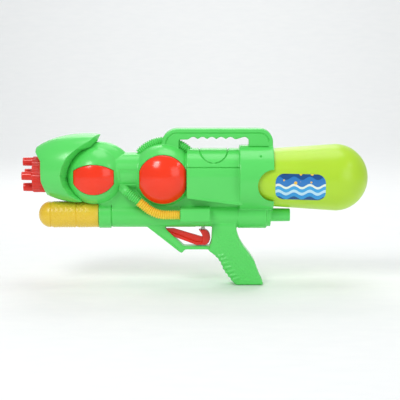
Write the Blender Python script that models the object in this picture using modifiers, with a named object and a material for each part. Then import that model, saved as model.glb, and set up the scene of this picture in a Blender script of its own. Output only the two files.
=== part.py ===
"""Pump-action toy water squirter, modelled piece by piece as it comes apart.

Metres, +Z up. The muzzle points along -X, the tank along +X and the left side faces -Y.
The origin is the middle of the flat grip base. The body is two moulded halves that meet
on the plane Y = 0.
"""
import math

import bmesh
import bpy
from mathutils import Matrix, Vector

for leftover in list(bpy.data.objects):
    bpy.data.objects.remove(leftover, do_unlink=True)

# Fits and walls
GAP = 0.0003
RUN = 0.0008
WALL = 0.0025
RIB_HALF = 0.0012
FAR = 0.060

# Lines that several pieces share
BARREL_Z = 0.151
TANK_DROP = 0.004
TANK_Z = BARREL_Z - TANK_DROP
PUMP_Z = 0.096

# Balls, neck and upper body
FRONT_BALL_X = -0.211
FRONT_BALL_R = 0.041
REAR_BALL_X = -0.118
REAR_BALL_R = 0.043
NECK_R = 0.026
NECK_RISE = 0.004
CREST_X = -0.2046
CREST_DROP = 0.004
CREST_R = 0.049
CREST_WIDE = 0.026
CREST_FRONT_X = -0.2120
CREST_REAR_X = -0.1560
MUZZLE_R = 0.0165
UPPER_R = 0.036
UPPER_FOOT_HALF = 0.031
UPPER_FOOT_DROP = 0.034
WEB_HALF = 0.013
WEB_FRONT_X = -0.203
WEB_REAR_X = 0.020

# Rear collar and its notch
COLLAR_X0 = -0.0145
COLLAR_X1 = 0.0313
COLLAR_R = 0.0445
NOTCH_R = 0.0218
NOTCH_Z = 0.140

# Carry handle
HANDLE_TOP_Z = 0.214
HANDLE_FRONT_X = -0.120
HANDLE_HALF = 0.011
HANDLE_FRONT_R = 0.021
HANDLE_REAR_R = 0.018
WINDOW_FRONT_X = -0.0966
WINDOW_REAR_X = -0.0020
HANDLE_BAR = 0.0110
WINDOW_TOP_Z = HANDLE_TOP_Z - HANDLE_BAR
SCALLOPS = 6
SCALLOP_PITCH = 0.0126
SCALLOP_DEPTH = 0.0037
WINDOW_END_R = 0.0060
HANDLE_SCREW_IN = 0.0150
HANDLE_SCREW_DROP = 0.0105

# Pump tube under the body
TUBE_R = 0.0175
FRONT_RING_X0 = -0.2057
FRONT_RING_LENGTH = 0.0167
FRONT_RING_R = 0.0187
SLEEVE_X0 = -0.0160
SLEEVE_X1 = 0.0224
SLEEVE_R = 0.0190
FLANGE_LENGTH = 0.0058
FLANGE_R = 0.0165
STUB_LENGTH = 0.0268
STUB_R = 0.0092
STUB_END_R = 0.0088
STUB_DROP = 0.0008

# Ribbed tubes: the moulded arch over the rear ball, the hose and its moulded connector
RIB_PITCH = 0.0030
ARCH_PITCH = 0.0036
RIB_DEPTH = 0.0011
ARCH_STAND_OFF = 0.0024
ARCH_SHIFT = 0.0025
ARCH_TUBE_R = 0.0064
ARCH_FROM = 140
ARCH_TO = 40
HOSE_R = 0.0064
HOSE_BORE_R = 0.0038
HOSE_Y = 0.0244
HOSE_END_Z = 0.0986
HOSE_BEND_R = 0.042
HOSE_LEAD = 0.014
HOSE_RUN_OUT = 0.0185
HOSE_SLOPE = 39
CONNECTOR_LENGTH = 0.022
CONNECTOR_ROOT_DROP = 0.012
CONNECTOR_LEAN = (0.6, -0.5)
SOCKET_BLOCK_X0 = -0.0945
SOCKET_BLOCK_LENGTH = 0.0400
SOCKET_BLOCK_HALF_Z = 0.0095
SOCKET_BLOCK_OUT = 0.0335
SOCKET_BLOCK_EDGE_R = 0.0042

# Trigger, its pin and its guard
PIVOT_X = -0.117
PIVOT_Z = 0.0738
TRIGGER_HALF = 0.0040
BLADE_HALF = 0.0055
TRIGGER_BOSS_R = 0.0036
PIN_R = 0.0015
PIN_HALF = 0.0075
BLADE_X = -0.0655
BLADE_TOP_Z = 0.0752
BLADE_FOOT_Z = 0.0542
BLADE_BACK_X = -0.0540
BLADE_BELLY = 0.0040
BLADE_HOLLOW = 0.0044
BLADE_LEAN = 0.0020
ARM_DEPTH = 0.0090
GUARD_HALF = 0.0090
GUARD_BAR_Z0 = 0.0483
GUARD_BAR_Z1 = 0.0530
GUARD_TIP_X = -0.0925
GUARD_TIP_Z = 0.0435
GUARD_TIP_BLUNT = 0.0027
GUARD_TIP_RISE = 0.0006
GUARD_HEEL = 0.0040
GUARD_INNER = 0.0025
GUARD_ROOT_X0 = -0.1420
GUARD_ROOT_X1 = -0.1180
GUARD_THROAT_X = -0.1129
GUARD_THROAT_Z = 0.0748
BLADE_SWING_FRONT = 0.0085
BLADE_SWING_BACK = 0.0025

# Grip
GRIP_HALF = 0.015
GRIP_BASE_DEPTH = 0.039

# Nozzle
NOZZLE_FACE_X = -0.295
NOZZLE_R = 0.0245
NOZZLE_DEPTH = 0.0195
TIP_R = 0.0060
TIP_LENGTH = 0.0140
TIP_TAPER = 0.0004
TIP_BORES = (0.0010, 0.0014, 0.0018, 0.0022)
KNURLS = 18
KNURL_DEPTH = 0.0008
SPIGOT_R = 0.0070
SPIGOT_FLANGE_R = 0.0125
SPIGOT_FLANGE = 0.0040
NOZZLE_SCREW_R = 0.0050
NOZZLE_SCREW_HEAD = 0.0022
NOZZLE_WALL = 0.0035
O_RING_R = 0.0011

# Nose cowl: an egg-shaped hood, cut open behind along the front ball
COWL_X = -0.222
COWL_Z = 0.1610
COWL_LONG = 0.085
COWL_WIDE = 0.045
COWL_HIGH = 0.0460
COWL_FACE_X = -0.2825
COWL_BROW_X = -0.2904
COWL_BROW_Z = 0.1720
COWL_BROW_RISE = 0.0110
COWL_CHIN_BACK = 0.0060
COWL_TIP_X = -0.203
COWL_FOOT_X = -0.218
COWL_MOUTH_OUT = 0.0012
COWL_EDGE = ((-0.2162, 0.1991), (-0.2332, 0.1893))
COWL_MOUTH_IN = 0.0050

# Lenses
LENS_PROUD = 0.0012
LENS_LIP = 0.0020
LENS_LIP_DEPTH = 0.0014
LENS_ROOT = 0.0182
FRONT_LENS_HALF = 0.027
FRONT_LENS_TOP = 0.0167
FRONT_LENS_EDGE_TOP = 0.0082
FRONT_LENS_EDGE_FOOT = -0.0057
FRONT_LENS_FOOT = -0.0240
REAR_LENS_R = 0.0335
REAR_LENS_HALF = 0.0315
REAR_LENS_DROP = 0.0035

# Tank, its socket and its seal
TANK_R = 0.0455
TANK_MOUTH_R = 0.0378
TANK_WALL = 0.0018
TANK_SHOULDER_X = 0.0040
TANK_SHOULDER = 0.012
TANK_WIDE_X = 0.1160
TANK_END_X = 0.1605
TANK_NECK_R = 0.0136
TANK_NECK_LENGTH = 0.0180
TANK_NECK_BORE_R = 0.0114
SEAL_THICK = 0.0020
SOCKET_WALL = 0.0035
SOCKET_SKIRT = 0.0160
SOCKET_SKIRT_WALL = 0.0025
SOCKET_FLANGE_R = 0.0210
SOCKET_FLANGE = 0.0030
PICKUP_LENGTH = 0.120
PICKUP_DROP = 0.0060
PORT_Y = 0.0070
PORT_RISE = 0.0040

# Pump
PUMP_HANDLE_LENGTH = 0.0825
PUMP_HANDLE_R = 0.0177
PUMP_HANDLE_WALL = 0.0022
PUMP_HUB_R = 0.0065
PUMP_HUB_LENGTH = 0.0160
ROD_R = 0.0040
ROD_ENGAGE = 0.0080
CYLINDER_R = 0.0135
CYLINDER_BORE_R = 0.0120
CYLINDER_LENGTH = 0.107
GUIDE_LENGTH = 0.0060
PISTON_LENGTH = 0.0120
PISTON_REST = 0.0080
PISTON_RING_LENGTH = 0.0040
PISTON_GROOVE = 0.0030
END_CAP_LENGTH = 0.0076
CAP_PORT_RISE = 0.0065
CRADLE_IN = 0.0120
CHECK_DISC_R = 0.0070
CHECK_DISC = 0.0014

# Water lines and outlet valve
LINE_R = 0.0030
LINE_BORE_R = 0.0018
NIPPLE = 0.0040
VALVE_BEHIND = 0.0177
VALVE_R = 0.0080
VALVE_Z0 = 0.1240
VALVE_Z1 = 0.1590
STEM_R = 0.0022
STEM_TOP_Z = 0.1400
STEM_FOOT_R = 0.0030
STEM_COLLAR_R = 0.0055
STEM_COLLAR_Z = 0.1030
STEM_DISC = 0.0020
SEAL_DEPTH = 0.0034
PRESSURE_STEPS = ((0.0, 0.0, 0.0070), (0.0030, 0.0040, 0.0140), (0.0120, 0.0125, 0.0190))
PRESSURE_CLEAR = 0.0040
PRESSURE_LEAD = 0.0050
LINE_RIB = 0.0120
SPRING_WIRE_R = 0.00055
SPRING_R = 0.0042
SPRING_TURNS = 5

# Body screws, driven from the right side: place, and how deep the head sits
SCREW_R = 0.0015
SCREW_HEAD_R = 0.0030
SCREW_HEAD = 0.0020
SCREW_REACH = 0.0070
POST_R = 0.0042

SIDES = 18
SMALL_SIDES = 8
BALL_SIDES = 20
MOUTH_SIDES = 24
WELD = 0.000002

parts = bpy.data.collections.new("Water squirter")
cutters = bpy.data.collections.new("Cutters")
bpy.context.scene.collection.children.link(parts)
bpy.context.scene.collection.children.link(cutters)


def working_solid(name, bm, fresh=True):
    """Keep a closed bmesh as a working solid among the cutters; a fresh one is faced outwards."""
    bmesh.ops.remove_doubles(bm, verts=bm.verts, dist=WELD)
    if fresh:
        bmesh.ops.recalc_face_normals(bm, faces=bm.faces)
    mesh = bpy.data.meshes.new(name)
    bm.to_mesh(mesh)
    bm.free()
    solid = bpy.data.objects.new(name, mesh)
    solid.hide_render = True
    solid.display_type = 'WIRE'
    cutters.objects.link(solid)
    return solid


def settled(source, fresh=True):
    """Replace a curve, or an object with modifiers, by the mesh that it evaluates to."""
    bpy.context.view_layer.update()
    graph = bpy.context.evaluated_depsgraph_get()
    mesh = bpy.data.meshes.new_from_object(source.evaluated_get(graph))
    bm = bmesh.new()
    bm.from_mesh(mesh)
    bm.transform(source.matrix_world)
    name = source.name
    bpy.data.objects.remove(source, do_unlink=True)
    bpy.data.meshes.remove(mesh)
    return working_solid(name, bm, fresh)


def boolean(target, others, operation):
    """Join, cut or keep the target with the other solids one by one, which are used up."""
    for other in others:
        step = target.modifiers.new("Shape", 'BOOLEAN')
        step.operation = operation
        step.object = other
    result = settled(target, fresh=False)
    for other in others:
        bpy.data.objects.remove(other, do_unlink=True)
    return result


def joined(solids):
    return boolean(solids[0], solids[1:], 'UNION')


def cut(target, others):
    return boolean(target, others, 'DIFFERENCE')


def common(target, other):
    return boolean(target, [other], 'INTERSECT')


def rod(start, end, radius, end_radius=None, sides=SIDES):
    """A cylinder or cone from one point to another."""
    start = Vector(start)
    end = Vector(end)
    bm = bmesh.new()
    bmesh.ops.create_cone(bm, cap_ends=True, segments=sides, radius1=radius,
                          radius2=radius if end_radius is None else end_radius,
                          depth=(end - start).length)
    turn = (end - start).to_track_quat('Z', 'Y').to_matrix().to_4x4()
    bm.transform(Matrix.Translation((start + end) / 2) @ turn)
    return working_solid("Rod", bm)


def along_x(x0, x1, z, radius, end_radius=None, sides=SIDES, y=0.0):
    return rod((x0, y, z), (x1, y, z), radius, end_radius, sides)


def block(low, high):
    """A box between two corners."""
    low = Vector(low)
    high = Vector(high)
    bm = bmesh.new()
    bmesh.ops.create_cube(bm, size=1.0)
    bm.transform(Matrix.Translation((low + high) / 2) @ Matrix.Diagonal((*(high - low), 1.0)))
    return working_solid("Block", bm)


def ball(centre, radius, stretch=(1.0, 1.0, 1.0)):
    """A ball with its poles to the sides, where the lenses are."""
    bm = bmesh.new()
    bmesh.ops.create_uvsphere(bm, u_segments=BALL_SIDES, v_segments=BALL_SIDES // 2, radius=radius)
    turn = Matrix.Rotation(math.pi / 2, 4, 'X')
    bm.transform(Matrix.Translation(centre) @ Matrix.Diagonal((*stretch, 1.0)) @ turn)
    return working_solid("Ball", bm)


def plate(outlines, half, across='Y', middle=0.0):
    """Flat outlines, the first with the rest as holes, thickened by half to either side."""
    curve = bpy.data.curves.new("Plate", 'CURVE')
    curve.dimensions = '2D'
    curve.fill_mode = 'BOTH'
    curve.extrude = half
    for outline in outlines:
        spline = curve.splines.new('POLY')
        spline.points.add(len(outline) - 1)
        for point, (u, v) in zip(spline.points, outline):
            point.co = (u, v, 0.0, 1.0)
        spline.use_cyclic_u = True
    solid = bpy.data.objects.new("Plate", curve)
    cutters.objects.link(solid)
    solid.rotation_euler = (math.pi / 2, 0, 0)
    solid.location = (0, middle, 0)
    if across == 'X':
        solid.rotation_euler = (math.pi / 2, 0, math.pi / 2)
        solid.location = (middle, 0, 0)
    return settled(solid)


def arc(u, v, radius, start, end, count):
    """Points on a round stretch, from one angle in degrees to another."""
    points = []
    for step in range(count + 1):
        angle = math.radians(start + (end - start) * step / count)
        points.append((u + radius * math.cos(angle), v + radius * math.sin(angle)))
    return points


def turned(profile, z, sides=SIDES, y=0.0):
    """A closed profile of (x, radius) points, turned about a line along X."""
    mesh = bpy.data.meshes.new("Turned")
    count = len(profile)
    ends_on_axis = profile[0][1] == 0 and profile[-1][1] == 0
    edges = [(i, (i + 1) % count) for i in range(count - 1 if ends_on_axis else count)]
    mesh.from_pydata([(radius, 0.0, along) for along, radius in profile], edges, [])
    solid = bpy.data.objects.new("Turned", mesh)
    cutters.objects.link(solid)
    spin = solid.modifiers.new("Turn", 'SCREW')
    spin.steps = sides
    spin.render_steps = sides
    spin.use_merge_vertices = True
    spin.merge_threshold = 0.00001
    solid.rotation_euler = (0, math.pi / 2, 0)
    solid.location = (0, y, z)
    return settled(solid)


def tube_along(points, radius, swell=None, resolution=2):
    """A closed tube through the points, with a radius factor at each if given."""
    curve = bpy.data.curves.new("Tube", 'CURVE')
    curve.dimensions = '3D'
    curve.bevel_depth = radius
    curve.bevel_resolution = resolution
    curve.use_fill_caps = True
    spline = curve.splines.new('POLY')
    spline.points.add(len(points) - 1)
    for index, place in enumerate(points):
        spline.points[index].co = (*place, 1.0)
        spline.points[index].radius = swell[index] if swell else 1.0
    solid = bpy.data.objects.new("Tube", curve)
    cutters.objects.link(solid)
    return settled(solid)


def walked(route, spacing):
    """Points at even steps along a route of points, ends included."""
    route = [Vector(place) for place in route]
    lengths = [0.0]
    for before, after in zip(route, route[1:]):
        lengths.append(lengths[-1] + (after - before).length)
    count = max(2, round(lengths[-1] / spacing))
    points = []
    leg = 0
    for step in range(count + 1):
        along = lengths[-1] * step / count
        while leg < len(route) - 2 and along > lengths[leg + 1]:
            leg += 1
        share = (along - lengths[leg]) / (lengths[leg + 1] - lengths[leg])
        points.append(route[leg].lerp(route[leg + 1], share))
    return points


def ribbed(route, radius, pitch, resolution):
    """A tube with ribs: each rib is a high point and a low point on the way."""
    points = walked(route, pitch / 2)
    low = 1.0 - RIB_DEPTH / radius
    return tube_along(points, radius, [1.0 if i % 2 == 0 else low for i in range(len(points))], resolution)


def smooth_route(points, per_leg):
    """A soft curve through the chosen points."""
    places = [Vector(place) for place in points]
    route = []
    for i in range(len(places) - 1):
        before = places[max(i - 1, 0)]
        after = places[min(i + 2, len(places) - 1)]
        for step in range(per_leg):
            t = step / per_leg
            a = 2 * places[i]
            b = places[i + 1] - before
            c = 2 * before - 5 * places[i] + 4 * places[i + 1] - after
            d = -before + 3 * places[i] - 3 * places[i + 1] + after
            route.append((a + b * t + c * t * t + d * t * t * t) / 2)
    route.append(places[-1])
    return route


def plastic(name, colour, roughness, metallic=0.0):
    """A plain material; the colour is linear."""
    material = bpy.data.materials.new(name)
    material.use_nodes = True
    shader = material.node_tree.nodes["Principled BSDF"]
    shader.inputs["Base Color"].default_value = (*colour, 1.0)
    shader.inputs["Roughness"].default_value = roughness
    shader.inputs["Metallic"].default_value = metallic
    return material


def piece(solid, name, material, origin=(0.0, 0.0, 0.0)):
    """Name a finished solid, give it its material and put its origin where it turns or slides."""
    solid.name = name
    solid.data.name = name
    solid.data.transform(Matrix.Translation(-Vector(origin)))
    solid.location = origin
    solid.hide_render = False
    solid.display_type = 'TEXTURED'
    cutters.objects.unlink(solid)
    parts.objects.link(solid)
    solid.data.materials.append(material)
    solid.data.shade_smooth()
    solid.data.set_sharp_from_angle(angle=math.radians(35))
    return solid


def drawn_in(outline, inset):
    """An outline that runs anticlockwise, moved in by the inset on every edge."""
    count = len(outline)
    moved = []
    for i in range(count):
        here = Vector(outline[i])
        into = (here - Vector(outline[i - 1])).normalized()
        away = (Vector(outline[(i + 1) % count]) - here).normalized()
        side_a = Vector((-into.y, into.x))
        side_b = Vector((-away.y, away.x))
        moved.append(tuple(here + inset * (side_a + side_b) / (1 + side_a.dot(side_b))))
    return moved


# Places that follow from the sizes
FRONT_BALL = (FRONT_BALL_X, 0.0, BARREL_Z)
REAR_BALL = (REAR_BALL_X, 0.0, BARREL_Z)
UPPER_X0 = REAR_BALL_X + REAR_LENS_HALF + 2 * GAP
UPPER_FOOT_Z = BARREL_Z - UPPER_FOOT_DROP
FLANGE_X1 = SLEEVE_X1 + FLANGE_LENGTH
STUB_X1 = FLANGE_X1 + STUB_LENGTH
NOZZLE_REAR_X = NOZZLE_FACE_X + NOZZLE_DEPTH
MUZZLE_X = NOZZLE_REAR_X + RUN
NECK_X1 = TANK_SHOULDER_X - TANK_SHOULDER
NECK_X0 = NECK_X1 - TANK_NECK_LENGTH
SEAL_X0 = NECK_X0 - GAP - SEAL_THICK
SOCKET_X1 = SEAL_X0 - GAP
SOCKET_X0 = SOCKET_X1 - SOCKET_WALL
GUIDE_X0 = FRONT_RING_X0 + WALL + GAP
CYLINDER_X0 = GUIDE_X0 + GUIDE_LENGTH + GAP
CYLINDER_X1 = CYLINDER_X0 + CYLINDER_LENGTH
CAP_X0 = CYLINDER_X1 + GAP
CAP_X1 = CAP_X0 + END_CAP_LENGTH
CAP_MID_X = (CAP_X0 + CAP_X1) / 2
CAP_PORT_Z = PUMP_Z + CYLINDER_R + CAP_PORT_RISE
VALVE_X = CAP_X1 + VALVE_BEHIND
PORT_Z = TANK_Z + PORT_RISE
PICKUP_Z = TANK_Z - PICKUP_DROP

# Materials
GREEN = plastic("Green moulded ABS", (0.10, 0.62, 0.13), 0.28)
RED = plastic("Red moulded ABS", (0.90, 0.06, 0.02), 0.25)
NOZZLE_RED = plastic("Red moulded nozzle plastic", (0.62, 0.03, 0.02), 0.30)
YELLOW = plastic("Yellow moulded ABS", (0.85, 0.58, 0.04), 0.32)
HOSE_YELLOW = plastic("Yellow soft PVC", (0.84, 0.56, 0.05), 0.42)
LIME = plastic("Lime blown polyethylene", (0.46, 0.78, 0.05), 0.35)
WHITE = plastic("White moulded acetal", (0.80, 0.80, 0.78), 0.40)
CLEAR_LINE = plastic("Milky PVC tube", (0.72, 0.76, 0.74), 0.35)
RUBBER = plastic("Black rubber", (0.02, 0.02, 0.02), 0.60)
STEEL = plastic("Zinc-plated steel", (0.62, 0.62, 0.60), 0.35, 1.0)


# Hose route on one side, from the moulded connector to the socket block
def hose_route(side):
    end = Vector((SOCKET_BLOCK_X0 - GAP, HOSE_END_Z))
    bend = (end.x - HOSE_RUN_OUT, end.y + HOSE_BEND_R)
    curve = arc(*bend, HOSE_BEND_R, -90 - HOSE_SLOPE, -90, 8)
    slope = math.radians(HOSE_SLOPE)
    heading = Vector((math.cos(slope), -math.sin(slope)))
    start = Vector(curve[0]) - HOSE_LEAD * heading
    flat = [tuple(start), *curve, tuple(end)]
    return [(x, side * HOSE_Y, z) for x, z in flat], start, heading


def connector_route(side):
    _, start, heading = hose_route(side)
    mouth = start - GAP * heading
    back = start - CONNECTOR_LENGTH * heading
    root = back - CONNECTOR_ROOT_DROP * Vector(CONNECTOR_LEAN)
    return [(mouth.x, side * HOSE_Y, mouth.y), (back.x, side * HOSE_Y, back.y),
            (root.x, side * (HOSE_Y - CONNECTOR_ROOT_DROP), root.y)]


def arch_route():
    radius = REAR_BALL_R + ARCH_STAND_OFF
    return [(x, 0.0, z) for x, z in arc(REAR_BALL_X + ARCH_SHIFT, BARREL_Z, radius, ARCH_FROM, ARCH_TO, 40)]


# Outlines of the handle, the grip and the guard, seen from the left
def handle_outlines(inset):
    root_z = BARREL_Z + NECK_R / 2
    front = HANDLE_FRONT_X + inset
    rear = COLLAR_X1 - GAP - inset
    top = HANDLE_TOP_Z - inset
    front_r = HANDLE_FRONT_R - inset
    rear_r = HANDLE_REAR_R - inset
    outer = [(front, root_z)]
    outer += arc(front + front_r, top - front_r, front_r, 180, 90, 8)
    outer += arc(rear - rear_r, top - rear_r, rear_r, 90, 0, 8)
    outer.append((rear, root_z))
    crest = WINDOW_TOP_Z + inset
    cusp = crest - SCALLOP_DEPTH
    if inset:
        return [outer, [(WINDOW_FRONT_X - inset, root_z - inset), (WINDOW_FRONT_X - inset, crest),
                        (WINDOW_REAR_X + inset, crest), (WINDOW_REAR_X + inset, root_z - inset)]]
    first = WINDOW_REAR_X - WINDOW_END_R - SCALLOP_PITCH * SCALLOPS
    window = [(WINDOW_FRONT_X - inset, root_z - inset), (WINDOW_FRONT_X - inset, cusp)]
    for scallop in range(SCALLOPS - 1):
        for step in range(5):
            share = step / 5
            rise = SCALLOP_DEPTH * (1 - (2 * share - 1) ** 2)
            window.append((first + SCALLOP_PITCH * (scallop + share), cusp + rise))
    window.append((first + SCALLOP_PITCH * (SCALLOPS - 1), cusp))
    end_r = WINDOW_END_R + inset
    window += arc(WINDOW_REAR_X - WINDOW_END_R, crest - end_r, end_r, 90, 0, 5)
    window.append((WINDOW_REAR_X + inset, root_z - inset))
    return [outer, window]


GRIP_FRONT = ((-0.0545, 0.0860), (-0.0571, 0.0476), (-0.0457, 0.0394), (-0.0395, 0.0315), (-0.0354, 0.0208))
GRIP_BACK = ((0.0105, 0.0208), (0.0064, 0.0326), (0.0000, 0.0422), (-0.0075, 0.0517), (-0.0144, 0.0631),
             (-0.0180, 0.0743), (-0.0186, 0.0860))


def grip_outline(inset):
    base = GRIP_BASE_DEPTH / 2
    return drawn_in([*GRIP_FRONT, (-base, 0.0), (base, 0.0), *GRIP_BACK], inset)


def guard_outline():
    root_z = PUMP_Z - TUBE_R + WALL
    bar_end = GRIP_FRONT[1][0] + WALL
    return [(GUARD_ROOT_X0, root_z), (GUARD_TIP_X - GUARD_TIP_BLUNT, GUARD_TIP_Z + GUARD_TIP_RISE),
            (GUARD_TIP_X, GUARD_TIP_Z), (GUARD_TIP_X + GUARD_HEEL, GUARD_BAR_Z0), (bar_end, GUARD_BAR_Z0),
            (bar_end, GUARD_BAR_Z1), (GUARD_TIP_X + GUARD_INNER, GUARD_BAR_Z1),
            (GUARD_THROAT_X, GUARD_THROAT_Z), (GUARD_ROOT_X1, root_z)]


def upper_outline(inset):
    half = UPPER_FOOT_HALF - inset
    foot = UPPER_FOOT_Z + inset
    return [*arc(0.0, BARREL_Z, UPPER_R - inset, 0, 180, 14), (-half, foot), (half, foot)]


# Body: the outer forms, the hollow inside them, and what is left standing in the hollow
def body_forms(inset):
    """The forms of the body, drawn in by the inset for the hollow."""
    upper_x0 = UPPER_X0 + inset
    upper_x1 = COLLAR_X0 + WALL / 2 + 2 * inset
    forms = [
        ball(FRONT_BALL, FRONT_BALL_R - inset),
        ball(REAR_BALL, REAR_BALL_R - inset),
        along_x(FRONT_BALL_X, REAR_BALL_X, BARREL_Z + NECK_RISE, NECK_R - inset),
        along_x(MUZZLE_X + inset, FRONT_BALL_X, BARREL_Z, MUZZLE_R - inset),
        plate([upper_outline(inset)], (upper_x1 - upper_x0) / 2, 'X', (upper_x0 + upper_x1) / 2),
        along_x(COLLAR_X0 + inset, COLLAR_X1 + 4 * inset, TANK_Z, COLLAR_R - inset, sides=28),
        block((WEB_FRONT_X + inset, inset - WEB_HALF, PUMP_Z),
              (WEB_REAR_X - inset, WEB_HALF - inset, BARREL_Z)),
        plate(handle_outlines(inset), HANDLE_HALF - inset),
        plate([grip_outline(inset)], GRIP_HALF - inset),
        along_x(FRONT_RING_X0 + inset, SLEEVE_X0 + 2 * WALL, PUMP_Z, TUBE_R - inset),
        along_x(SLEEVE_X0 + inset, SLEEVE_X1 - inset, PUMP_Z, SLEEVE_R - inset),
        along_x(SLEEVE_X0 + 3 * WALL, FLANGE_X1 - inset, PUMP_Z, FLANGE_R - inset),
        along_x(SLEEVE_X1 - WALL, STUB_X1 - inset, PUMP_Z - STUB_DROP, STUB_R - inset, STUB_END_R - inset),
    ]
    return forms


SCREW_PLACES = {
    "handle_front": (HANDLE_FRONT_X + HANDLE_SCREW_IN, HANDLE_TOP_Z - HANDLE_SCREW_DROP, HANDLE_HALF),
    "handle_rear": (COLLAR_X1 - HANDLE_SCREW_IN, HANDLE_TOP_Z - HANDLE_SCREW_DROP, HANDLE_HALF),
    "neck": (-0.1650, BARREL_Z + 0.0160, 0.0225),
    "web_front": (-0.1780, 0.1190, WEB_HALF),
    "web_rear": (-0.0300, 0.1110, WEB_HALF),
    "upper_rear": (-0.0200, BARREL_Z + 0.0215, 0.0285),
    "sleeve": (0.0120, PUMP_Z + 0.0010, SLEEVE_R),
    "grip_top": (-0.0340, 0.0660, GRIP_HALF),
    "grip_base": (-0.0080, 0.0120, GRIP_HALF),
}


def head_floor(face):
    """How far from the middle plane a screw head rests, under a face at that distance."""
    return face - 2 * SCREW_HEAD


def posts_and_ribs():
    """Screw posts, and ribs that carry the pump, the lines, the valve and the tank socket."""
    keep = []
    for x, z, _ in SCREW_PLACES.values():
        keep.append(rod((x, -FAR, z), (x, FAR, z), POST_R, sides=SMALL_SIDES))
    ribs = [
        (CYLINDER_X0 + CRADLE_IN, RIB_HALF, PUMP_Z - TUBE_R, PUMP_Z + TUBE_R),
        (CYLINDER_X1 - CRADLE_IN, RIB_HALF, PUMP_Z - TUBE_R, PUMP_Z + TUBE_R),
        (VALVE_X, RIB_HALF, UPPER_FOOT_Z, BARREL_Z + LINE_RIB),
        ((SOCKET_X0 + SOCKET_X1) / 2, SOCKET_WALL / 2 + 2 * RIB_HALF, UPPER_FOOT_Z, BARREL_Z + UPPER_R),
        (SCREW_PLACES["neck"][0], RIB_HALF, BARREL_Z - LINE_RIB, BARREL_Z + LINE_RIB),
        (SPIGOT_RIB_X, RIB_HALF, BARREL_Z - MUZZLE_R, BARREL_Z + MUZZLE_R),
    ]
    for x, half, z0, z1 in ribs:
        keep.append(block((x - half, -FAR, z0), (x + half, FAR, z1)))
    return keep


SPIGOT_FLANGE_X0 = MUZZLE_X + WALL + GAP
SPIGOT_FLANGE_X1 = SPIGOT_FLANGE_X0 + SPIGOT_FLANGE
SPIGOT_RIB_X = SPIGOT_FLANGE_X1 + GAP + RIB_HALF
PRESSURE_END = (SOCKET_X0 - NIPPLE - GAP, PORT_Y, PORT_Z)
PRESSURE_POINTS = (
    (CAP_MID_X, 0.0, CAP_PORT_Z + GAP),
    *((CAP_MID_X + x, y, CAP_PORT_Z + z) for x, y, z in PRESSURE_STEPS),
    (VALVE_X, VALVE_R + LINE_R + PRESSURE_CLEAR, PORT_Z),
    (PRESSURE_END[0] - 2 * PRESSURE_LEAD, PORT_Y + GAP, PORT_Z),
    (PRESSURE_END[0] - PRESSURE_LEAD, PORT_Y, PORT_Z),
    PRESSURE_END,
)


def pressure_route():
    """A soft route with both ends straight."""
    return [Vector(PRESSURE_POINTS[0]), *smooth_route(PRESSURE_POINTS[1:-1], 2), Vector(PRESSURE_POINTS[-1])]


def lens_outline(which, grow):
    """A lens seen from the side: round above and below, flat before and behind."""
    if which == "rear":
        radius = REAR_LENS_R + grow
        half = REAR_LENS_HALF + grow
        middle = BARREL_Z - REAR_LENS_DROP
        turn = math.degrees(math.acos(half / radius))
        upper = arc(REAR_BALL_X, middle, radius, turn, 180 - turn, 10)
        lower = arc(REAR_BALL_X, middle, radius, 180 + turn, 360 - turn, 10)
        return upper + lower
    outline = []
    for tip, edge, middle in ((FRONT_LENS_TOP, FRONT_LENS_EDGE_TOP, 90),
                              (FRONT_LENS_FOOT, FRONT_LENS_EDGE_FOOT, 270)):
        rise = abs(tip - edge)
        radius = (FRONT_LENS_HALF ** 2 + rise ** 2) / (2 * rise)
        turn = math.degrees(math.asin((FRONT_LENS_HALF + grow) / (radius + grow)))
        centre_z = BARREL_Z + tip - math.copysign(radius, tip)
        outline += arc(FRONT_BALL_X, centre_z, radius + grow, middle - turn, middle + turn, 8)
    return outline


def lens_prism(which, side, grow, near=LENS_ROOT):
    """A lens outline pushed through one side of its ball, from that far off the middle plane."""
    return plate([lens_outline(which, grow)], (FAR - near) / 2, 'Y', side * (FAR + near) / 2)


def trigger_pockets():
    """Room in the guard, the grip and the tube for the trigger to swing."""
    arm = TRIGGER_HALF + RUN
    blade = BLADE_HALF + RUN
    reach = TRIGGER_BOSS_R + RUN
    return [
        block((PIVOT_X - reach, -arm, PIVOT_Z - 2 * reach),
              (PIVOT_X + 4 * reach, arm, PIVOT_Z + reach + RUN)),
        block((BLADE_X - BLADE_SWING_FRONT, -blade, GUARD_BAR_Z1 + GAP),
              (BLADE_BACK_X + BLADE_SWING_BACK, blade, PUMP_Z)),
        rod((VALVE_X, 0, BLADE_TOP_Z - RUN), (VALVE_X, 0, PUMP_Z + RUN), STEM_FOOT_R + RUN, sides=16),
    ]


def handle_path(grow):
    """The way of the pump handle, which grazes the front ball from below."""
    return along_x(NOZZLE_FACE_X, FRONT_RING_X0 - GAP / 2 + grow / 2, PUMP_Z, PUMP_HANDLE_R + RUN + grow)


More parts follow.
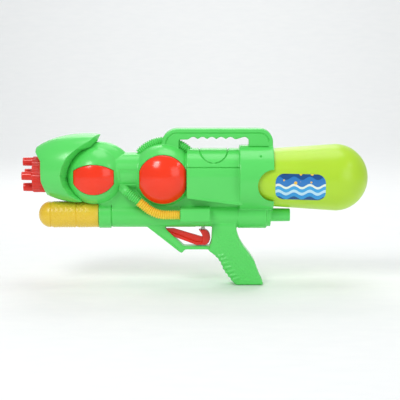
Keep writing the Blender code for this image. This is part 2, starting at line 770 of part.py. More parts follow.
def seats():
    """What the inner pieces and the screws need cut out of the body."""
    taken = trigger_pockets()
    taken += [
        handle_path(0.0),
        along_x(GUIDE_X0 - GAP, CAP_X1 + RUN, PUMP_Z, CYLINDER_R + GAP),
        along_x(FRONT_RING_X0 - WALL, FRONT_RING_X0 + 2 * WALL, PUMP_Z, ROD_R + RUN, sides=16),
        along_x(MUZZLE_X - WALL, MUZZLE_X + 2 * WALL, BARREL_Z, SPIGOT_R + GAP, sides=16),
        along_x(SPIGOT_FLANGE_X1 - WALL, VALVE_X, BARREL_Z, LINE_R + GAP, sides=SMALL_SIDES),
        rod((VALVE_X, 0, PUMP_Z), (VALVE_X, 0, VALVE_Z1 + RUN), VALVE_R + GAP, sides=16),
        along_x(SOCKET_X0 - GAP, SOCKET_X0 + SOCKET_FLANGE + GAP, TANK_Z, SOCKET_FLANGE_R + RUN, sides=20),
        along_x(SOCKET_X0 - 3 * NIPPLE, SOCKET_X1 + 3 * NIPPLE, TANK_Z, SOCKET_FLANGE_R - 2 * WALL / 3),
        tube_along(pressure_route(), LINE_R + GAP),
        rod((PIVOT_X, -PIN_HALF - GAP, PIVOT_Z), (PIVOT_X, PIN_HALF + GAP, PIVOT_Z), PIN_R + GAP,
            sides=SMALL_SIDES),
        rod((COLLAR_X1, -FAR, NOTCH_Z), (COLLAR_X1, FAR, NOTCH_Z), NOTCH_R, sides=28),
    ]
    for side in (-1, 1):
        taken.append(lens_prism("front", side, GAP, LENS_ROOT - GAP))
        taken.append(lens_prism("rear", side, GAP, LENS_ROOT - GAP))
    for x, z, face in SCREW_PLACES.values():
        floor = head_floor(face)
        taken.append(rod((x, floor - GAP, z), (x, FAR, z), SCREW_HEAD_R + GAP, sides=SMALL_SIDES))
        taken.append(rod((x, -SCREW_REACH - GAP, z), (x, floor, z), SCREW_R + GAP, sides=6))
    return taken


def crest():
    """A flattened dome behind the front ball, that carries its top over to the neck."""
    dome = ball((CREST_X, 0.0, BARREL_Z - CREST_DROP), 1.0, (CREST_R, CREST_WIDE, CREST_R))
    return common(dome, block((CREST_FRONT_X, -FAR, BARREL_Z), (CREST_REAR_X, FAR, BARREL_Z + FAR)))


def socket_block(side):
    """The block on the tube's side, with rounded outer edges, that takes the hose's lower end."""
    edge_r = SOCKET_BLOCK_EDGE_R
    low = HOSE_END_Z - SOCKET_BLOCK_HALF_Z
    high = HOSE_END_Z + SOCKET_BLOCK_HALF_Z
    edge_y = SOCKET_BLOCK_OUT - edge_r
    outline = [(WEB_HALF - WALL, low), *arc(edge_y, low + edge_r, edge_r, -90, 0, 3),
               *arc(edge_y, high - edge_r, edge_r, 0, 90, 3), (WEB_HALF - WALL, high)]
    half = SOCKET_BLOCK_LENGTH / 2
    return plate([[(side * y, z) for y, z in outline]], half, 'X', SOCKET_BLOCK_X0 + half)


def make_body():
    outer = body_forms(0.0)
    outer += [
        along_x(FRONT_RING_X0, FRONT_RING_X0 + FRONT_RING_LENGTH, PUMP_Z, FRONT_RING_R),
        plate([guard_outline()], GUARD_HALF),
        ribbed(arch_route(), ARCH_TUBE_R, ARCH_PITCH, 1),
        crest(),
    ]
    for side in (-1, 1):
        outer.append(socket_block(side))
        outer.append(ribbed(connector_route(side), HOSE_R, ARCH_PITCH, 1))
    hollow = cut(joined(body_forms(WALL)), [handle_path(WALL), *posts_and_ribs()])
    body = cut(joined(outer), [hollow, *seats()])
    twin = body.copy()
    twin.data = body.data.copy()
    cutters.objects.link(twin)
    reach = 1.0
    left = common(body, block((-reach, -reach, -reach), (reach, -GAP / 2, reach)))
    right = common(twin, block((-reach, GAP / 2, -reach), (reach, reach, reach)))
    piece(left, "left_body_half", GREEN)
    piece(right, "right_body_half", GREEN)


make_body()


# Nose cowl
def hood(inset):
    return ball((COWL_X, 0.0, COWL_Z), 1.0, (COWL_LONG - inset, COWL_WIDE - inset, COWL_HIGH - inset))


def cowl_mouth(side, grow):
    """The cone that opens the cowl round one side of the front ball."""
    inner_r = FRONT_BALL_R - COWL_MOUTH_IN
    inner_y = math.sqrt(FRONT_BALL_R ** 2 - inner_r ** 2)
    slope = (COWL_MOUTH_OUT + COWL_MOUTH_IN) / (COWL_WIDE - inner_y)
    outer_r = inner_r + slope * (FAR - inner_y)
    return rod((FRONT_BALL_X, side * (inner_y - grow), BARREL_Z), (FRONT_BALL_X, side * FAR, BARREL_Z),
               inner_r + grow, outer_r + grow, sides=MOUTH_SIDES)


def make_cowl():
    far_x = COWL_X - 2 * COWL_LONG
    low = COWL_Z - 2 * COWL_HIGH
    high = COWL_Z + 2 * COWL_HIGH
    tip_z = COWL_Z + COWL_HIGH * math.sqrt(1 - ((COWL_TIP_X - COWL_X) / COWL_LONG) ** 2)
    face = [(far_x, low), (COWL_FACE_X + 2 * COWL_CHIN_BACK, low),
            (COWL_FACE_X + COWL_CHIN_BACK, BARREL_Z - NOZZLE_R), (COWL_FACE_X, BARREL_Z - NOZZLE_R / 4),
            (COWL_FACE_X, COWL_BROW_Z), (COWL_BROW_X, COWL_BROW_Z + COWL_BROW_RISE), (COWL_BROW_X, high),
            (far_x, high)]
    rear = [(COWL_TIP_X, tip_z), *COWL_EDGE, (FRONT_BALL_X, BARREL_Z), (COWL_FOOT_X, low),
            (REAR_BALL_X, low), (REAR_BALL_X, high), (COWL_TIP_X, high)]
    front_wall = block((far_x, -FAR, low), (COWL_FACE_X + WALL, FAR, high))
    hollow = cut(hood(WALL), [front_wall, cowl_mouth(-1, WALL), cowl_mouth(1, WALL)])
    cowl = cut(hood(0.0), [
        plate([face], FAR),
        plate([rear], FAR),
        cowl_mouth(-1, 0.0),
        cowl_mouth(1, 0.0),
        hollow,
        ball(FRONT_BALL, FRONT_BALL_R + GAP),
        along_x(far_x, COWL_FACE_X + 4 * WALL, BARREL_Z, NOZZLE_R + RUN, sides=28),
        along_x(far_x, FRONT_RING_X0, PUMP_Z, PUMP_HANDLE_R + RUN),
    ])
    piece(cowl, "nose_cowl", GREEN)


make_cowl()


# Side lenses, each held by a lip behind the ball's wall
def make_lens(which, side, name):
    centre = FRONT_BALL if which == "front" else REAR_BALL
    radius = FRONT_BALL_R if which == "front" else REAR_BALL_R
    behind = radius - WALL - GAP
    cap = common(ball(centre, radius + LENS_PROUD), lens_prism(which, side, 0.0))
    lip = common(ball(centre, behind), lens_prism(which, side, LENS_LIP))
    lens = cut(joined([cap, lip]), [ball(centre, behind - LENS_LIP_DEPTH)])
    piece(lens, name, RED)


for side, word in ((-1, "left"), (1, "right")):
    make_lens("front", side, word + "_front_lens")
    make_lens("rear", side, word + "_rear_lens")


# Ribbed hoses, with the bore running out of both ends
def make_hose(side, name):
    route, _, _ = hose_route(side)
    past = [Vector(place) for place in route]
    past[0] += (past[0] - past[1]).normalized() * HOSE_R
    past[-1] += (past[-1] - past[-2]).normalized() * HOSE_R
    hose = cut(ribbed(route, HOSE_R, RIB_PITCH, 2), [tube_along(past, HOSE_BORE_R, resolution=1)])
    piece(hose, name, HOSE_YELLOW)


make_hose(-1, "left_hose")
make_hose(1, "right_hose")


# Nozzle: a knurled head with four tips that turns on a spigot
SPIGOT_X0 = NOZZLE_FACE_X + NOZZLE_WALL + GAP
SPIGOT_X1 = SPIGOT_FLANGE_X1 + 1.5 * NIPPLE
O_RING_LINE_R = SPIGOT_R + GAP + O_RING_R


def make_nozzle():
    rim = []
    for step in range(2 * KNURLS):
        radius = NOZZLE_R - KNURL_DEPTH * (step % 2)
        angle = math.pi * step / KNURLS
        rim.append((radius * math.cos(angle), BARREL_Z + radius * math.sin(angle)))
    head = plate([rim], NOZZLE_DEPTH / 2, 'X', NOZZLE_FACE_X + NOZZLE_DEPTH / 2)
    ring = NOZZLE_R - KNURL_DEPTH - TIP_R - GAP
    tips = []
    holes = []
    for turn, bore in enumerate(TIP_BORES):
        angle = math.pi / 2 * turn
        y = ring * math.cos(angle)
        z = BARREL_Z + ring * math.sin(angle)
        front = NOZZLE_FACE_X - TIP_LENGTH
        tips.append(along_x(NOZZLE_FACE_X + NOZZLE_WALL, front, z, TIP_R, TIP_R - TIP_TAPER, sides=12, y=y))
        holes.append(along_x(front - GAP, NOZZLE_REAR_X + GAP, z, bore, sides=8, y=y))
    o_ring_room = NOZZLE_REAR_X - 2 * O_RING_R - 2 * GAP
    holes += [
        along_x(NOZZLE_FACE_X + NOZZLE_WALL, NOZZLE_REAR_X + GAP, BARREL_Z, SPIGOT_R + GAP, sides=16),
        along_x(NOZZLE_FACE_X - GAP, NOZZLE_FACE_X + 2 * NOZZLE_WALL, BARREL_Z, SCREW_R + GAP, sides=8),
        along_x(o_ring_room, NOZZLE_REAR_X + GAP, BARREL_Z, O_RING_LINE_R + O_RING_R + GAP, sides=16),
    ]
    head = cut(joined([head, *tips]), holes)
    piece(head, "nozzle_head", NOZZLE_RED, (NOZZLE_FACE_X, 0.0, BARREL_Z))
    spigot = [(SPIGOT_X0, LINE_BORE_R), (SPIGOT_X0, SPIGOT_R), (SPIGOT_FLANGE_X0, SPIGOT_R),
              (SPIGOT_FLANGE_X0, SPIGOT_FLANGE_R), (SPIGOT_FLANGE_X1, SPIGOT_FLANGE_R),
              (SPIGOT_FLANGE_X1, LINE_R), (SPIGOT_X1, LINE_R), (SPIGOT_X1, LINE_BORE_R)]
    piece(turned(spigot, BARREL_Z, 16), "nozzle_spigot", WHITE)
    screw_x0 = NOZZLE_FACE_X - NOZZLE_SCREW_HEAD
    screw_x1 = NOZZLE_FACE_X - GAP
    screw_x2 = SPIGOT_X0 + 2 * NOZZLE_WALL
    screw = [(screw_x0, 0.0), (screw_x0, NOZZLE_SCREW_R), (screw_x1, NOZZLE_SCREW_R), (screw_x1, SCREW_R),
             (screw_x2, SCREW_R), (screw_x2, 0.0)]
    piece(turned(screw, BARREL_Z, 12), "nozzle_screw", STEEL)
    o_ring_x = NOZZLE_REAR_X - O_RING_R - GAP
    o_ring = arc(o_ring_x, O_RING_LINE_R, O_RING_R, 0, 300, 5)
    piece(turned(o_ring, BARREL_Z, 16), "nozzle_o_ring", RUBBER)


make_nozzle()


# Tank, screwed into a socket with a seal between
def tank_line(inset, neck_r, bends):
    """One face of the tank's wall, from the neck's mouth to the end of the dome."""
    line = [(NECK_X0, neck_r)]
    for step in range(bends + 1):
        angle = math.pi / 2 * step / bends
        rise = TANK_MOUTH_R - inset - neck_r
        along = NECK_X1 + inset + TANK_SHOULDER * (1 - math.cos(angle))
        line.append((along, neck_r + rise * math.sin(angle)))
    dome = TANK_END_X - inset - TANK_WIDE_X
    for step in range(bends + 1):
        angle = math.pi / 2 * step / (bends + 1)
        line.append((TANK_WIDE_X + dome * math.sin(angle), (TANK_R - inset) * math.cos(angle)))
    line.append((TANK_END_X - inset, 0.0))
    return line


def make_tank():
    profile = tank_line(TANK_WALL, TANK_NECK_BORE_R, 4)[::-1] + tank_line(0.0, TANK_NECK_R, 6)
    piece(turned(profile, TANK_Z, 24), "tank", LIME, (NECK_X0, 0.0, TANK_Z))
    seal_x1 = SEAL_X0 + SEAL_THICK
    seal = [(SEAL_X0, TANK_NECK_BORE_R), (SEAL_X0, TANK_NECK_R), (seal_x1, TANK_NECK_R),
            (seal_x1, TANK_NECK_BORE_R)]
    piece(turned(seal, TANK_Z, 16), "tank_seal", RUBBER, (SEAL_X0, 0.0, TANK_Z))
    skirt_in = TANK_NECK_R + RUN / 2
    skirt_out = skirt_in + SOCKET_SKIRT_WALL
    flange_x1 = SOCKET_X0 + SOCKET_FLANGE
    skirt_x1 = SOCKET_X1 + SOCKET_SKIRT
    profile = [(SOCKET_X0, 0.0), (SOCKET_X0, SOCKET_FLANGE_R), (flange_x1, SOCKET_FLANGE_R),
               (flange_x1, skirt_out), (skirt_x1, skirt_out), (skirt_x1, skirt_in), (SOCKET_X1, skirt_in),
               (SOCKET_X1, 0.0)]
    ports = []
    bores = []
    for y, z in ((0.0, PICKUP_Z), (PORT_Y, PORT_Z)):
        ports.append(along_x(SOCKET_X0 - NIPPLE, SOCKET_X0 + GAP, z, LINE_R, sides=12, y=y))
        bores.append(along_x(SOCKET_X0 - 2 * NIPPLE, SOCKET_X1 + NIPPLE, z, LINE_BORE_R, sides=10, y=y))
    socket = cut(joined([turned(profile, TANK_Z, 20), *ports]), bores)
    piece(socket, "tank_socket", WHITE)
    start = SOCKET_X1 + GAP
    pickup = cut(along_x(start, start + PICKUP_LENGTH, PICKUP_Z, LINE_R, sides=12),
                 [along_x(start - NIPPLE, start + PICKUP_LENGTH + NIPPLE, PICKUP_Z, LINE_BORE_R, sides=10)])
    piece(pickup, "pickup_tube", CLEAR_LINE)


make_tank()

# Pump
HANDLE_X1 = FRONT_RING_X0 - GAP
HANDLE_X0 = HANDLE_X1 - PUMP_HANDLE_LENGTH
HUB_X0 = HANDLE_X0 + PUMP_HANDLE_R / 3
HUB_X1 = HUB_X0 + PUMP_HUB_LENGTH
ROD_X0 = HUB_X1 - 0.8 * PUMP_HUB_LENGTH
PISTON_X1 = CYLINDER_X1 - PISTON_REST
PISTON_X0 = PISTON_X1 - PISTON_LENGTH
PISTON_R = CYLINDER_BORE_R - 2 * GAP
PUMP_ORIGIN = (HANDLE_X1, 0.0, PUMP_Z)


def make_pump():
    inner_r = PUMP_HANDLE_R - PUMP_HANDLE_WALL
    socket_r = ROD_R + GAP
    dome = [(HANDLE_X0 + PUMP_HANDLE_R * (1 - math.cos(math.radians(angle))),
             PUMP_HANDLE_R * math.sin(math.radians(angle))) for angle in range(15, 91, 15)]
    profile = [(HANDLE_X0, 0.0), *dome, (HANDLE_X1, PUMP_HANDLE_R), (HANDLE_X1, inner_r),
               (HANDLE_X0 + PUMP_HANDLE_R, inner_r), (HUB_X0 + PUMP_HANDLE_WALL, inner_r * 0.7),
               (HUB_X0, PUMP_HUB_R), (HUB_X1, PUMP_HUB_R), (HUB_X1, socket_r), (ROD_X0 - GAP, socket_r),
               (ROD_X0 - GAP, 0.0)]
    piece(turned(profile, PUMP_Z), "pump_handle", YELLOW, PUMP_ORIGIN)
    piston_floor = PISTON_X0 + ROD_ENGAGE
    piece(along_x(ROD_X0, piston_floor - GAP, PUMP_Z, ROD_R, sides=16), "pump_rod", WHITE, PUMP_ORIGIN)
    groove_x0 = piston_floor - PISTON_RING_LENGTH
    groove_r = PISTON_R - PISTON_GROOVE
    piston = [(piston_floor, 0.0), (piston_floor, socket_r), (PISTON_X0, socket_r), (PISTON_X0, PISTON_R),
              (groove_x0, PISTON_R), (groove_x0, groove_r), (piston_floor, groove_r),
              (piston_floor, PISTON_R), (PISTON_X1, PISTON_R), (PISTON_X1, 0.0)]
    piece(turned(piston, PUMP_Z, 16), "pump_piston", WHITE, PUMP_ORIGIN)
    ring = [(groove_x0 + GAP, groove_r + GAP), (groove_x0 + GAP, CYLINDER_BORE_R - GAP),
            (piston_floor - GAP, CYLINDER_BORE_R - GAP), (piston_floor - GAP, groove_r + GAP)]
    piece(turned(ring, PUMP_Z, 16), "piston_ring", RUBBER, PUMP_ORIGIN)
    tube = [(CYLINDER_X0, CYLINDER_BORE_R), (CYLINDER_X0, CYLINDER_R), (CYLINDER_X1, CYLINDER_R),
            (CYLINDER_X1, CYLINDER_BORE_R)]
    piece(turned(tube, PUMP_Z, 20), "pump_cylinder", WHITE)
    guide_r = TUBE_R - WALL - GAP
    guide_x1 = GUIDE_X0 + GUIDE_LENGTH
    guide = [(GUIDE_X0, ROD_R + GAP), (GUIDE_X0, guide_r), (guide_x1, guide_r), (guide_x1, ROD_R + GAP)]
    piece(turned(guide, PUMP_Z, 16), "pump_guide_ring", WHITE)
    recess = CAP_X0 + CHECK_DISC + 2 * GAP
    recess_r = CHECK_DISC_R + GAP
    cap = [(recess, 0.0), (recess, recess_r), (CAP_X0, recess_r), (CAP_X0, CYLINDER_R),
           (CAP_X1, CYLINDER_R), (CAP_X1, 0.0)]
    port_foot = PUMP_Z + CYLINDER_R - LINE_R
    port = rod((CAP_MID_X, 0.0, port_foot), (CAP_MID_X, 0.0, CAP_PORT_Z), LINE_R, sides=12)
    bore = rod((CAP_MID_X, 0.0, PUMP_Z), (CAP_MID_X, 0.0, CAP_PORT_Z + LINE_R), LINE_BORE_R, sides=10)
    piece(cut(joined([turned(cap, PUMP_Z, 16), port]), [bore]), "pump_end_cap", WHITE)
    disc_x0 = CAP_X0 + GAP
    piece(along_x(disc_x0, disc_x0 + CHECK_DISC, PUMP_Z, CHECK_DISC_R, sides=12), "check_valve_disc", RUBBER)


make_pump()


# Water lines
def make_line(points, name):
    ends = [Vector(place) for place in points]
    ends[0] += (ends[0] - ends[1]).normalized() * LINE_R
    ends[-1] += (ends[-1] - ends[-2]).normalized() * LINE_R
    line = cut(tube_along(points, LINE_R), [tube_along(ends, LINE_BORE_R, resolution=1)])
    piece(line, name, CLEAR_LINE)


OUTLET_X0 = SPIGOT_X1 + GAP
OUTLET_X1 = VALVE_X - VALVE_R - NIPPLE - GAP
FEED_X0 = VALVE_X + VALVE_R + NIPPLE + GAP
FEED_X1 = SOCKET_X0 - NIPPLE - GAP
make_line(pressure_route(), "pressure_tube")
make_line([(OUTLET_X0, 0.0, BARREL_Z), (OUTLET_X1, 0.0, BARREL_Z)], "outlet_tube")
make_line([(FEED_X0, 0.0, PICKUP_Z), (FEED_X1, 0.0, PICKUP_Z)], "feed_tube")


# Outlet valve over the trigger
def upright(z0, z1, radius, sides=SMALL_SIDES):
    return rod((VALVE_X, 0.0, z0), (VALVE_X, 0.0, z1), radius, sides=sides)


def make_valve():
    feed_port = along_x(VALVE_X, VALVE_X + VALVE_R + NIPPLE, PICKUP_Z, LINE_R, sides=12)
    outlet_port = along_x(VALVE_X, VALVE_X - VALVE_R - NIPPLE, BARREL_Z, LINE_R, sides=12)
    feed_bore = along_x(VALVE_X, VALVE_X + VALVE_R + 2 * NIPPLE, PICKUP_Z, LINE_BORE_R, sides=10)
    outlet_bore = along_x(VALVE_X, VALVE_X - VALVE_R - 2 * NIPPLE, BARREL_Z, LINE_BORE_R, sides=10)
    shaft = upright(VALVE_Z0 - WALL, VALVE_Z1 - WALL, STEM_R + GAP)
    seal_room = upright(VALVE_Z0 - WALL, VALVE_Z0 + SEAL_DEPTH, STEM_COLLAR_R)
    body = joined([upright(VALVE_Z0, VALVE_Z1, VALVE_R, 16), feed_port, outlet_port])
    piece(cut(body, [shaft, seal_room, feed_bore, outlet_bore]), "valve_body", WHITE)
    seal = cut(upright(VALVE_Z0 + GAP, VALVE_Z0 + SEAL_DEPTH - GAP, STEM_COLLAR_R - GAP),
               [upright(VALVE_Z0 - WALL, VALVE_Z0 + 2 * SEAL_DEPTH, STEM_R + GAP)])
    piece(seal, "valve_seal", RUBBER)
    foot_z = BLADE_TOP_Z + GAP
    stem = joined([upright(foot_z, STEM_TOP_Z, STEM_R),
                   upright(foot_z - GAP / 2, foot_z + STEM_DISC, STEM_FOOT_R),
                   upright(STEM_COLLAR_Z, STEM_COLLAR_Z + STEM_DISC, STEM_COLLAR_R)])
    piece(stem, "valve_stem", WHITE, (VALVE_X, 0.0, foot_z))


def make_spring():
    """One wire in even curls between the stem's collar and the valve body."""
    low = STEM_COLLAR_Z + STEM_DISC + GAP + SPRING_WIRE_R
    high = VALVE_Z0 - GAP - SPRING_WIRE_R
    per_curl = 9
    wire = []
    for step in range(SPRING_TURNS * per_curl + 1):
        angle = 2 * math.pi * step / per_curl
        rise = (high - low) * step / (SPRING_TURNS * per_curl)
        wire.append(Vector((VALVE_X + SPRING_R * math.cos(angle), SPRING_R * math.sin(angle), low + rise)))
    count = len(wire)
    apart = [(wire[i] - wire[j]).length for i in range(count) for j in range(i + per_curl // 2, count)]
    least = min(apart)
    print("valve_spring least gap to itself, mm:", round((least - 2 * SPRING_WIRE_R) * 1000, 2))
    piece(tube_along(wire, SPRING_WIRE_R, resolution=1), "valve_spring", STEEL)


make_valve()
make_spring()


# Trigger, hinged at its front end
def make_trigger():
    boss = rod((PIVOT_X, -TRIGGER_HALF, PIVOT_Z), (PIVOT_X, TRIGGER_HALF, PIVOT_Z), TRIGGER_BOSS_R, sides=14)
    belly_x = BLADE_X + BLADE_BELLY
    arm = [(PIVOT_X, PIVOT_Z - 0.95 * TRIGGER_BOSS_R), (BLADE_X, BLADE_FOOT_Z + GAP),
           (belly_x, BLADE_FOOT_Z + ARM_DEPTH), (PIVOT_X + RUN, PIVOT_Z + 0.85 * TRIGGER_BOSS_R)]
    height = BLADE_TOP_Z - BLADE_FOOT_Z
    blade = []
    for step in range(11):
        angle = math.pi * (step / 10 - 0.5)
        blade.append((belly_x + (BLADE_BACK_X - belly_x) * math.cos(angle),
                      BLADE_FOOT_Z + height / 2 * (1 + math.sin(angle))))
    for step in range(8):
        share = step / 7
        hollow = BLADE_HOLLOW * (1 - (2 * share - 1) ** 2)
        blade.append((BLADE_X - BLADE_HOLLOW + hollow + BLADE_LEAN * share, BLADE_TOP_Z - height * share))
    trigger = joined([boss, plate([arm], TRIGGER_HALF), plate([blade], BLADE_HALF)])
    hole = rod((PIVOT_X, -BLADE_HALF, PIVOT_Z), (PIVOT_X, BLADE_HALF, PIVOT_Z), PIN_R + GAP,
               sides=SMALL_SIDES)
    pivot = (PIVOT_X, 0.0, PIVOT_Z)
    piece(cut(trigger, [hole]), "trigger", RED, pivot)
    pin = rod((PIVOT_X, -PIN_HALF, PIVOT_Z), (PIVOT_X, PIN_HALF, PIVOT_Z), PIN_R, sides=SMALL_SIDES)
    piece(pin, "trigger_pin", STEEL, pivot)


make_trigger()


# Body screws
def make_screw(place, name):
    x, z, face = place
    floor = head_floor(face)
    head = rod((x, floor, z), (x, floor + SCREW_HEAD, z), SCREW_HEAD_R, sides=SMALL_SIDES)
    shank = rod((x, -SCREW_REACH, z), (x, floor + GAP, z), SCREW_R, sides=6)
    piece(joined([head, shank]), name, STEEL)


for word, place in SCREW_PLACES.items():
    make_screw(place, "body_screw_" + word)
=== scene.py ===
# Toy pump water squirter in moulded plastic: a two-half green body with ball-shaped chambers,
# a screwed-on tank, a sliding pump handle, a sprung trigger and a turning nozzle head.
import math

import bmesh
import bpy
from mathutils import Matrix, Vector, noise


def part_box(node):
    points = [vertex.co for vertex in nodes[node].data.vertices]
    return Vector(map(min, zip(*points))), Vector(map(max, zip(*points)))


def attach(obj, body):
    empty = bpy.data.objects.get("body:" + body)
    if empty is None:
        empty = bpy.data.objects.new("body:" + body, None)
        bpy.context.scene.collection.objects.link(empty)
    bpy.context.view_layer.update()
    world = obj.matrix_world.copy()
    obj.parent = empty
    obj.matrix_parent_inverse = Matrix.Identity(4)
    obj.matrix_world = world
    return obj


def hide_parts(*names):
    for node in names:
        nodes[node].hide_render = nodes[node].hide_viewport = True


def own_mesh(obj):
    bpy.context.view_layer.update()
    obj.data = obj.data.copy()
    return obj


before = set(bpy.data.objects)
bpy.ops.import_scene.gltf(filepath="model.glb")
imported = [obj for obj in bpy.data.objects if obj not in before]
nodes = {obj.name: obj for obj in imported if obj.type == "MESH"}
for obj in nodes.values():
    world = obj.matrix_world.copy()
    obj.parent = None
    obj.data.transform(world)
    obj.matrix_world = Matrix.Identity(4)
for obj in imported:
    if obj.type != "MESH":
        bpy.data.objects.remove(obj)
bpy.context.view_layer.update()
scene = bpy.context.scene
scene.view_settings.view_transform = 'Standard'

# Camera: the left side seen square on from a little above, at the height of the toy's middle.
# The square frame takes in 0.547 m at the toy's middle plane.
VIEW_MIDDLE = Vector((-0.0680, 0.0, 0.1156))
VIEW_WIDTH = 0.547
VIEW_DISTANCE = 1.9
VIEW_RISE = math.radians(8)
SENSOR = 36
camera = bpy.data.objects.new("Camera", bpy.data.cameras.new("Camera"))
camera.data.sensor_width = SENSOR
camera.data.lens = SENSOR * VIEW_DISTANCE / VIEW_WIDTH
away = Vector((0.0, -math.cos(VIEW_RISE), math.sin(VIEW_RISE)))
camera.location = VIEW_MIDDLE + VIEW_DISTANCE * away
camera.rotation_euler = (math.pi / 2 - VIEW_RISE, 0.0, 0.0)
scene.collection.objects.link(camera)
scene.camera = camera


# Studio: a pale paper sweep under and behind the toy, painted matt, with soft lamps.
# The key lamp is high at the front left, a wide fill stands right, and one lamp lights the back;
# two small lamps give the gloss its glints, and one is turned to the paper behind.
def linear(hex_colour):
    """An sRGB hex colour as a linear RGBA tuple."""
    channels = [int(hex_colour[i:i + 2], 16) / 255 for i in (1, 3, 5)]
    return (*[c / 12.92 if c <= 0.04045 else ((c + 0.055) / 1.055) ** 2.4 for c in channels], 1.0)


def node(tree, kind, links=None, **settings):
    """Add a node with its settings; links gives a value or another node's socket for each input."""
    made = tree.nodes.new(kind)
    for name, value in settings.items():
        setattr(made, name, value)
    for name, value in (links or {}).items():
        if isinstance(value, bpy.types.NodeSocket):
            tree.links.new(value, made.inputs[name])
        else:
            made.inputs[name].default_value = value
    return made


def new_material(name):
    """A node material with its tree and its shader."""
    material = bpy.data.materials.new(name)
    material.use_nodes = True
    tree = material.node_tree
    return material, tree, tree.nodes["Principled BSDF"]


SWEEP_FRONT = -2.8
SWEEP_BACK = 2.8
SWEEP_BEND = 0.7
SWEEP_TOP = 2.4
SWEEP_SIDE = 6.0
SWEEP_GAP = 0.0006
SWEEP_STEPS = 16
FIBRE = 0.0033
sweep_line = [(SWEEP_FRONT, 0.0)]
for step in range(SWEEP_STEPS + 1):
    turn = math.pi / 2 * step / SWEEP_STEPS
    sweep_line.append((SWEEP_BACK - SWEEP_BEND * (1 - math.sin(turn)), SWEEP_BEND * (1 - math.cos(turn))))
sweep_line.append((SWEEP_BACK, SWEEP_TOP))
sweep_mesh = bpy.data.meshes.new("Paper_sweep")
sweep_points = [(side, y, z - SWEEP_GAP) for y, z in sweep_line for side in (-SWEEP_SIDE, SWEEP_SIDE)]
sweep_faces = [(2 * i, 2 * i + 1, 2 * i + 3, 2 * i + 2) for i in range(len(sweep_line) - 1)]
sweep_mesh.from_pydata(sweep_points, [], sweep_faces)
sweep_mesh.shade_smooth()
sweep = bpy.data.objects.new("Paper_sweep", sweep_mesh)
scene.collection.objects.link(sweep)
# Matt paper: an even pale grey without shine, its 3 mm clouds of fibre only just to be seen.
paper, tree, shader = new_material("Matt studio paper")
shader.inputs["Roughness"].default_value = 0.9
shader.inputs["Specular IOR Level"].default_value = 0.2
fibre = node(tree, "ShaderNodeTexNoise", {"Scale": 1 / FIBRE, "Detail": 2.0})
tone = node(tree, "ShaderNodeMix",
            {0: fibre.outputs["Fac"], 6: linear("#F1F2F2"), 7: linear("#F7F7F6")}, data_type='RGBA')
tree.links.new(tone.outputs[2], shader.inputs["Base Color"])
sweep_mesh.materials.append(paper)

# Each lamp's place, its width and its power.
LAMPS = {
    "Key_lamp": ((-0.75, -1.15, 1.25), 0.55, 10.0),
    "Fill_lamp": ((1.1, -1.2, 0.55), 0.9, 4.5),
    "Top_lamp": ((0.1, 0.15, 1.5), 0.9, 6.0),
    "Back_lamp": ((-0.2, 1.0, 0.9), 0.8, 3.0),
    "Paper_lamp": ((0.0, 1.7, 1.9), 1.2, 16.0),
    "Left_glint_lamp": ((-0.56, -0.89, 1.29), 0.12, 0.9),
    "Right_glint_lamp": ((0.98, -0.45, 0.93), 0.12, 0.7),
}
for lamp_name, (place, size, power) in LAMPS.items():
    lamp = bpy.data.lights.new(lamp_name, 'AREA')
    lamp.size = size
    lamp.energy = power
    stand = bpy.data.objects.new(lamp_name, lamp)
    stand.location = place
    aim = Vector((0.0, SWEEP_BACK, 0.0)) if lamp_name == "Paper_lamp" else VIEW_MIDDLE
    stand.rotation_euler = (aim - Vector(place)).to_track_quat('-Z', 'Y').to_euler()
    scene.collection.objects.link(stand)
world = bpy.data.worlds.new("Studio")
scene.world = world
world.use_nodes = True
surround = world.node_tree.nodes["Background"]
surround.inputs["Color"].default_value = linear("#E9EDF0")
surround.inputs["Strength"].default_value = 0.50

# Body halves: injection-moulded green ABS, two shells that meet on the middle plane and are
# screwed together from the right. The tool leaves rounded edges, seam lines and a pebbled grip.
WALL = 0.0025
GAP = 0.0003
RUN = 0.0008
SAME = 0.000002
BARREL_Z = 0.151
TANK_Z = 0.147
PUMP_Z = 0.096
FAR = 0.060


def solid_of(bm, name="Form"):
    """A closed bmesh as an object among the working forms, faced outwards."""
    bmesh.ops.remove_doubles(bm, verts=bm.verts, dist=SAME)
    bmesh.ops.recalc_face_normals(bm, faces=bm.faces)
    mesh = bpy.data.meshes.new(name)
    bm.to_mesh(mesh)
    bm.free()
    made = bpy.data.objects.new(name, mesh)
    scene.collection.objects.link(made)
    return made


def settled(source):
    """Replace an object that has modifiers, or is a curve, by the mesh that it evaluates to."""
    bpy.context.view_layer.update()
    graph = bpy.context.evaluated_depsgraph_get()
    mesh = bpy.data.meshes.new_from_object(source.evaluated_get(graph))
    mesh.transform(source.matrix_world)
    made = bpy.data.objects.new(source.name, mesh)
    bpy.data.objects.remove(source, do_unlink=True)
    scene.collection.objects.link(made)
    return made


def rod(start, end, radius, end_radius=None, sides=64):
    """A cylinder or cone from one point to another."""
    start = Vector(start)
    end = Vector(end)
    bm = bmesh.new()
    bmesh.ops.create_cone(bm, cap_ends=True, segments=sides, radius1=radius,
                          radius2=radius if end_radius is None else end_radius, depth=(end - start).length)
    turn = (end - start).to_track_quat('Z', 'Y').to_matrix().to_4x4()
    bm.transform(Matrix.Translation((start + end) / 2) @ turn)
    return solid_of(bm)


def along_x(x0, x1, z, radius, end_radius=None, sides=64, y=0.0):
    """A rod along the toy's length."""
    return rod((x0, y, z), (x1, y, z), radius, end_radius, sides)


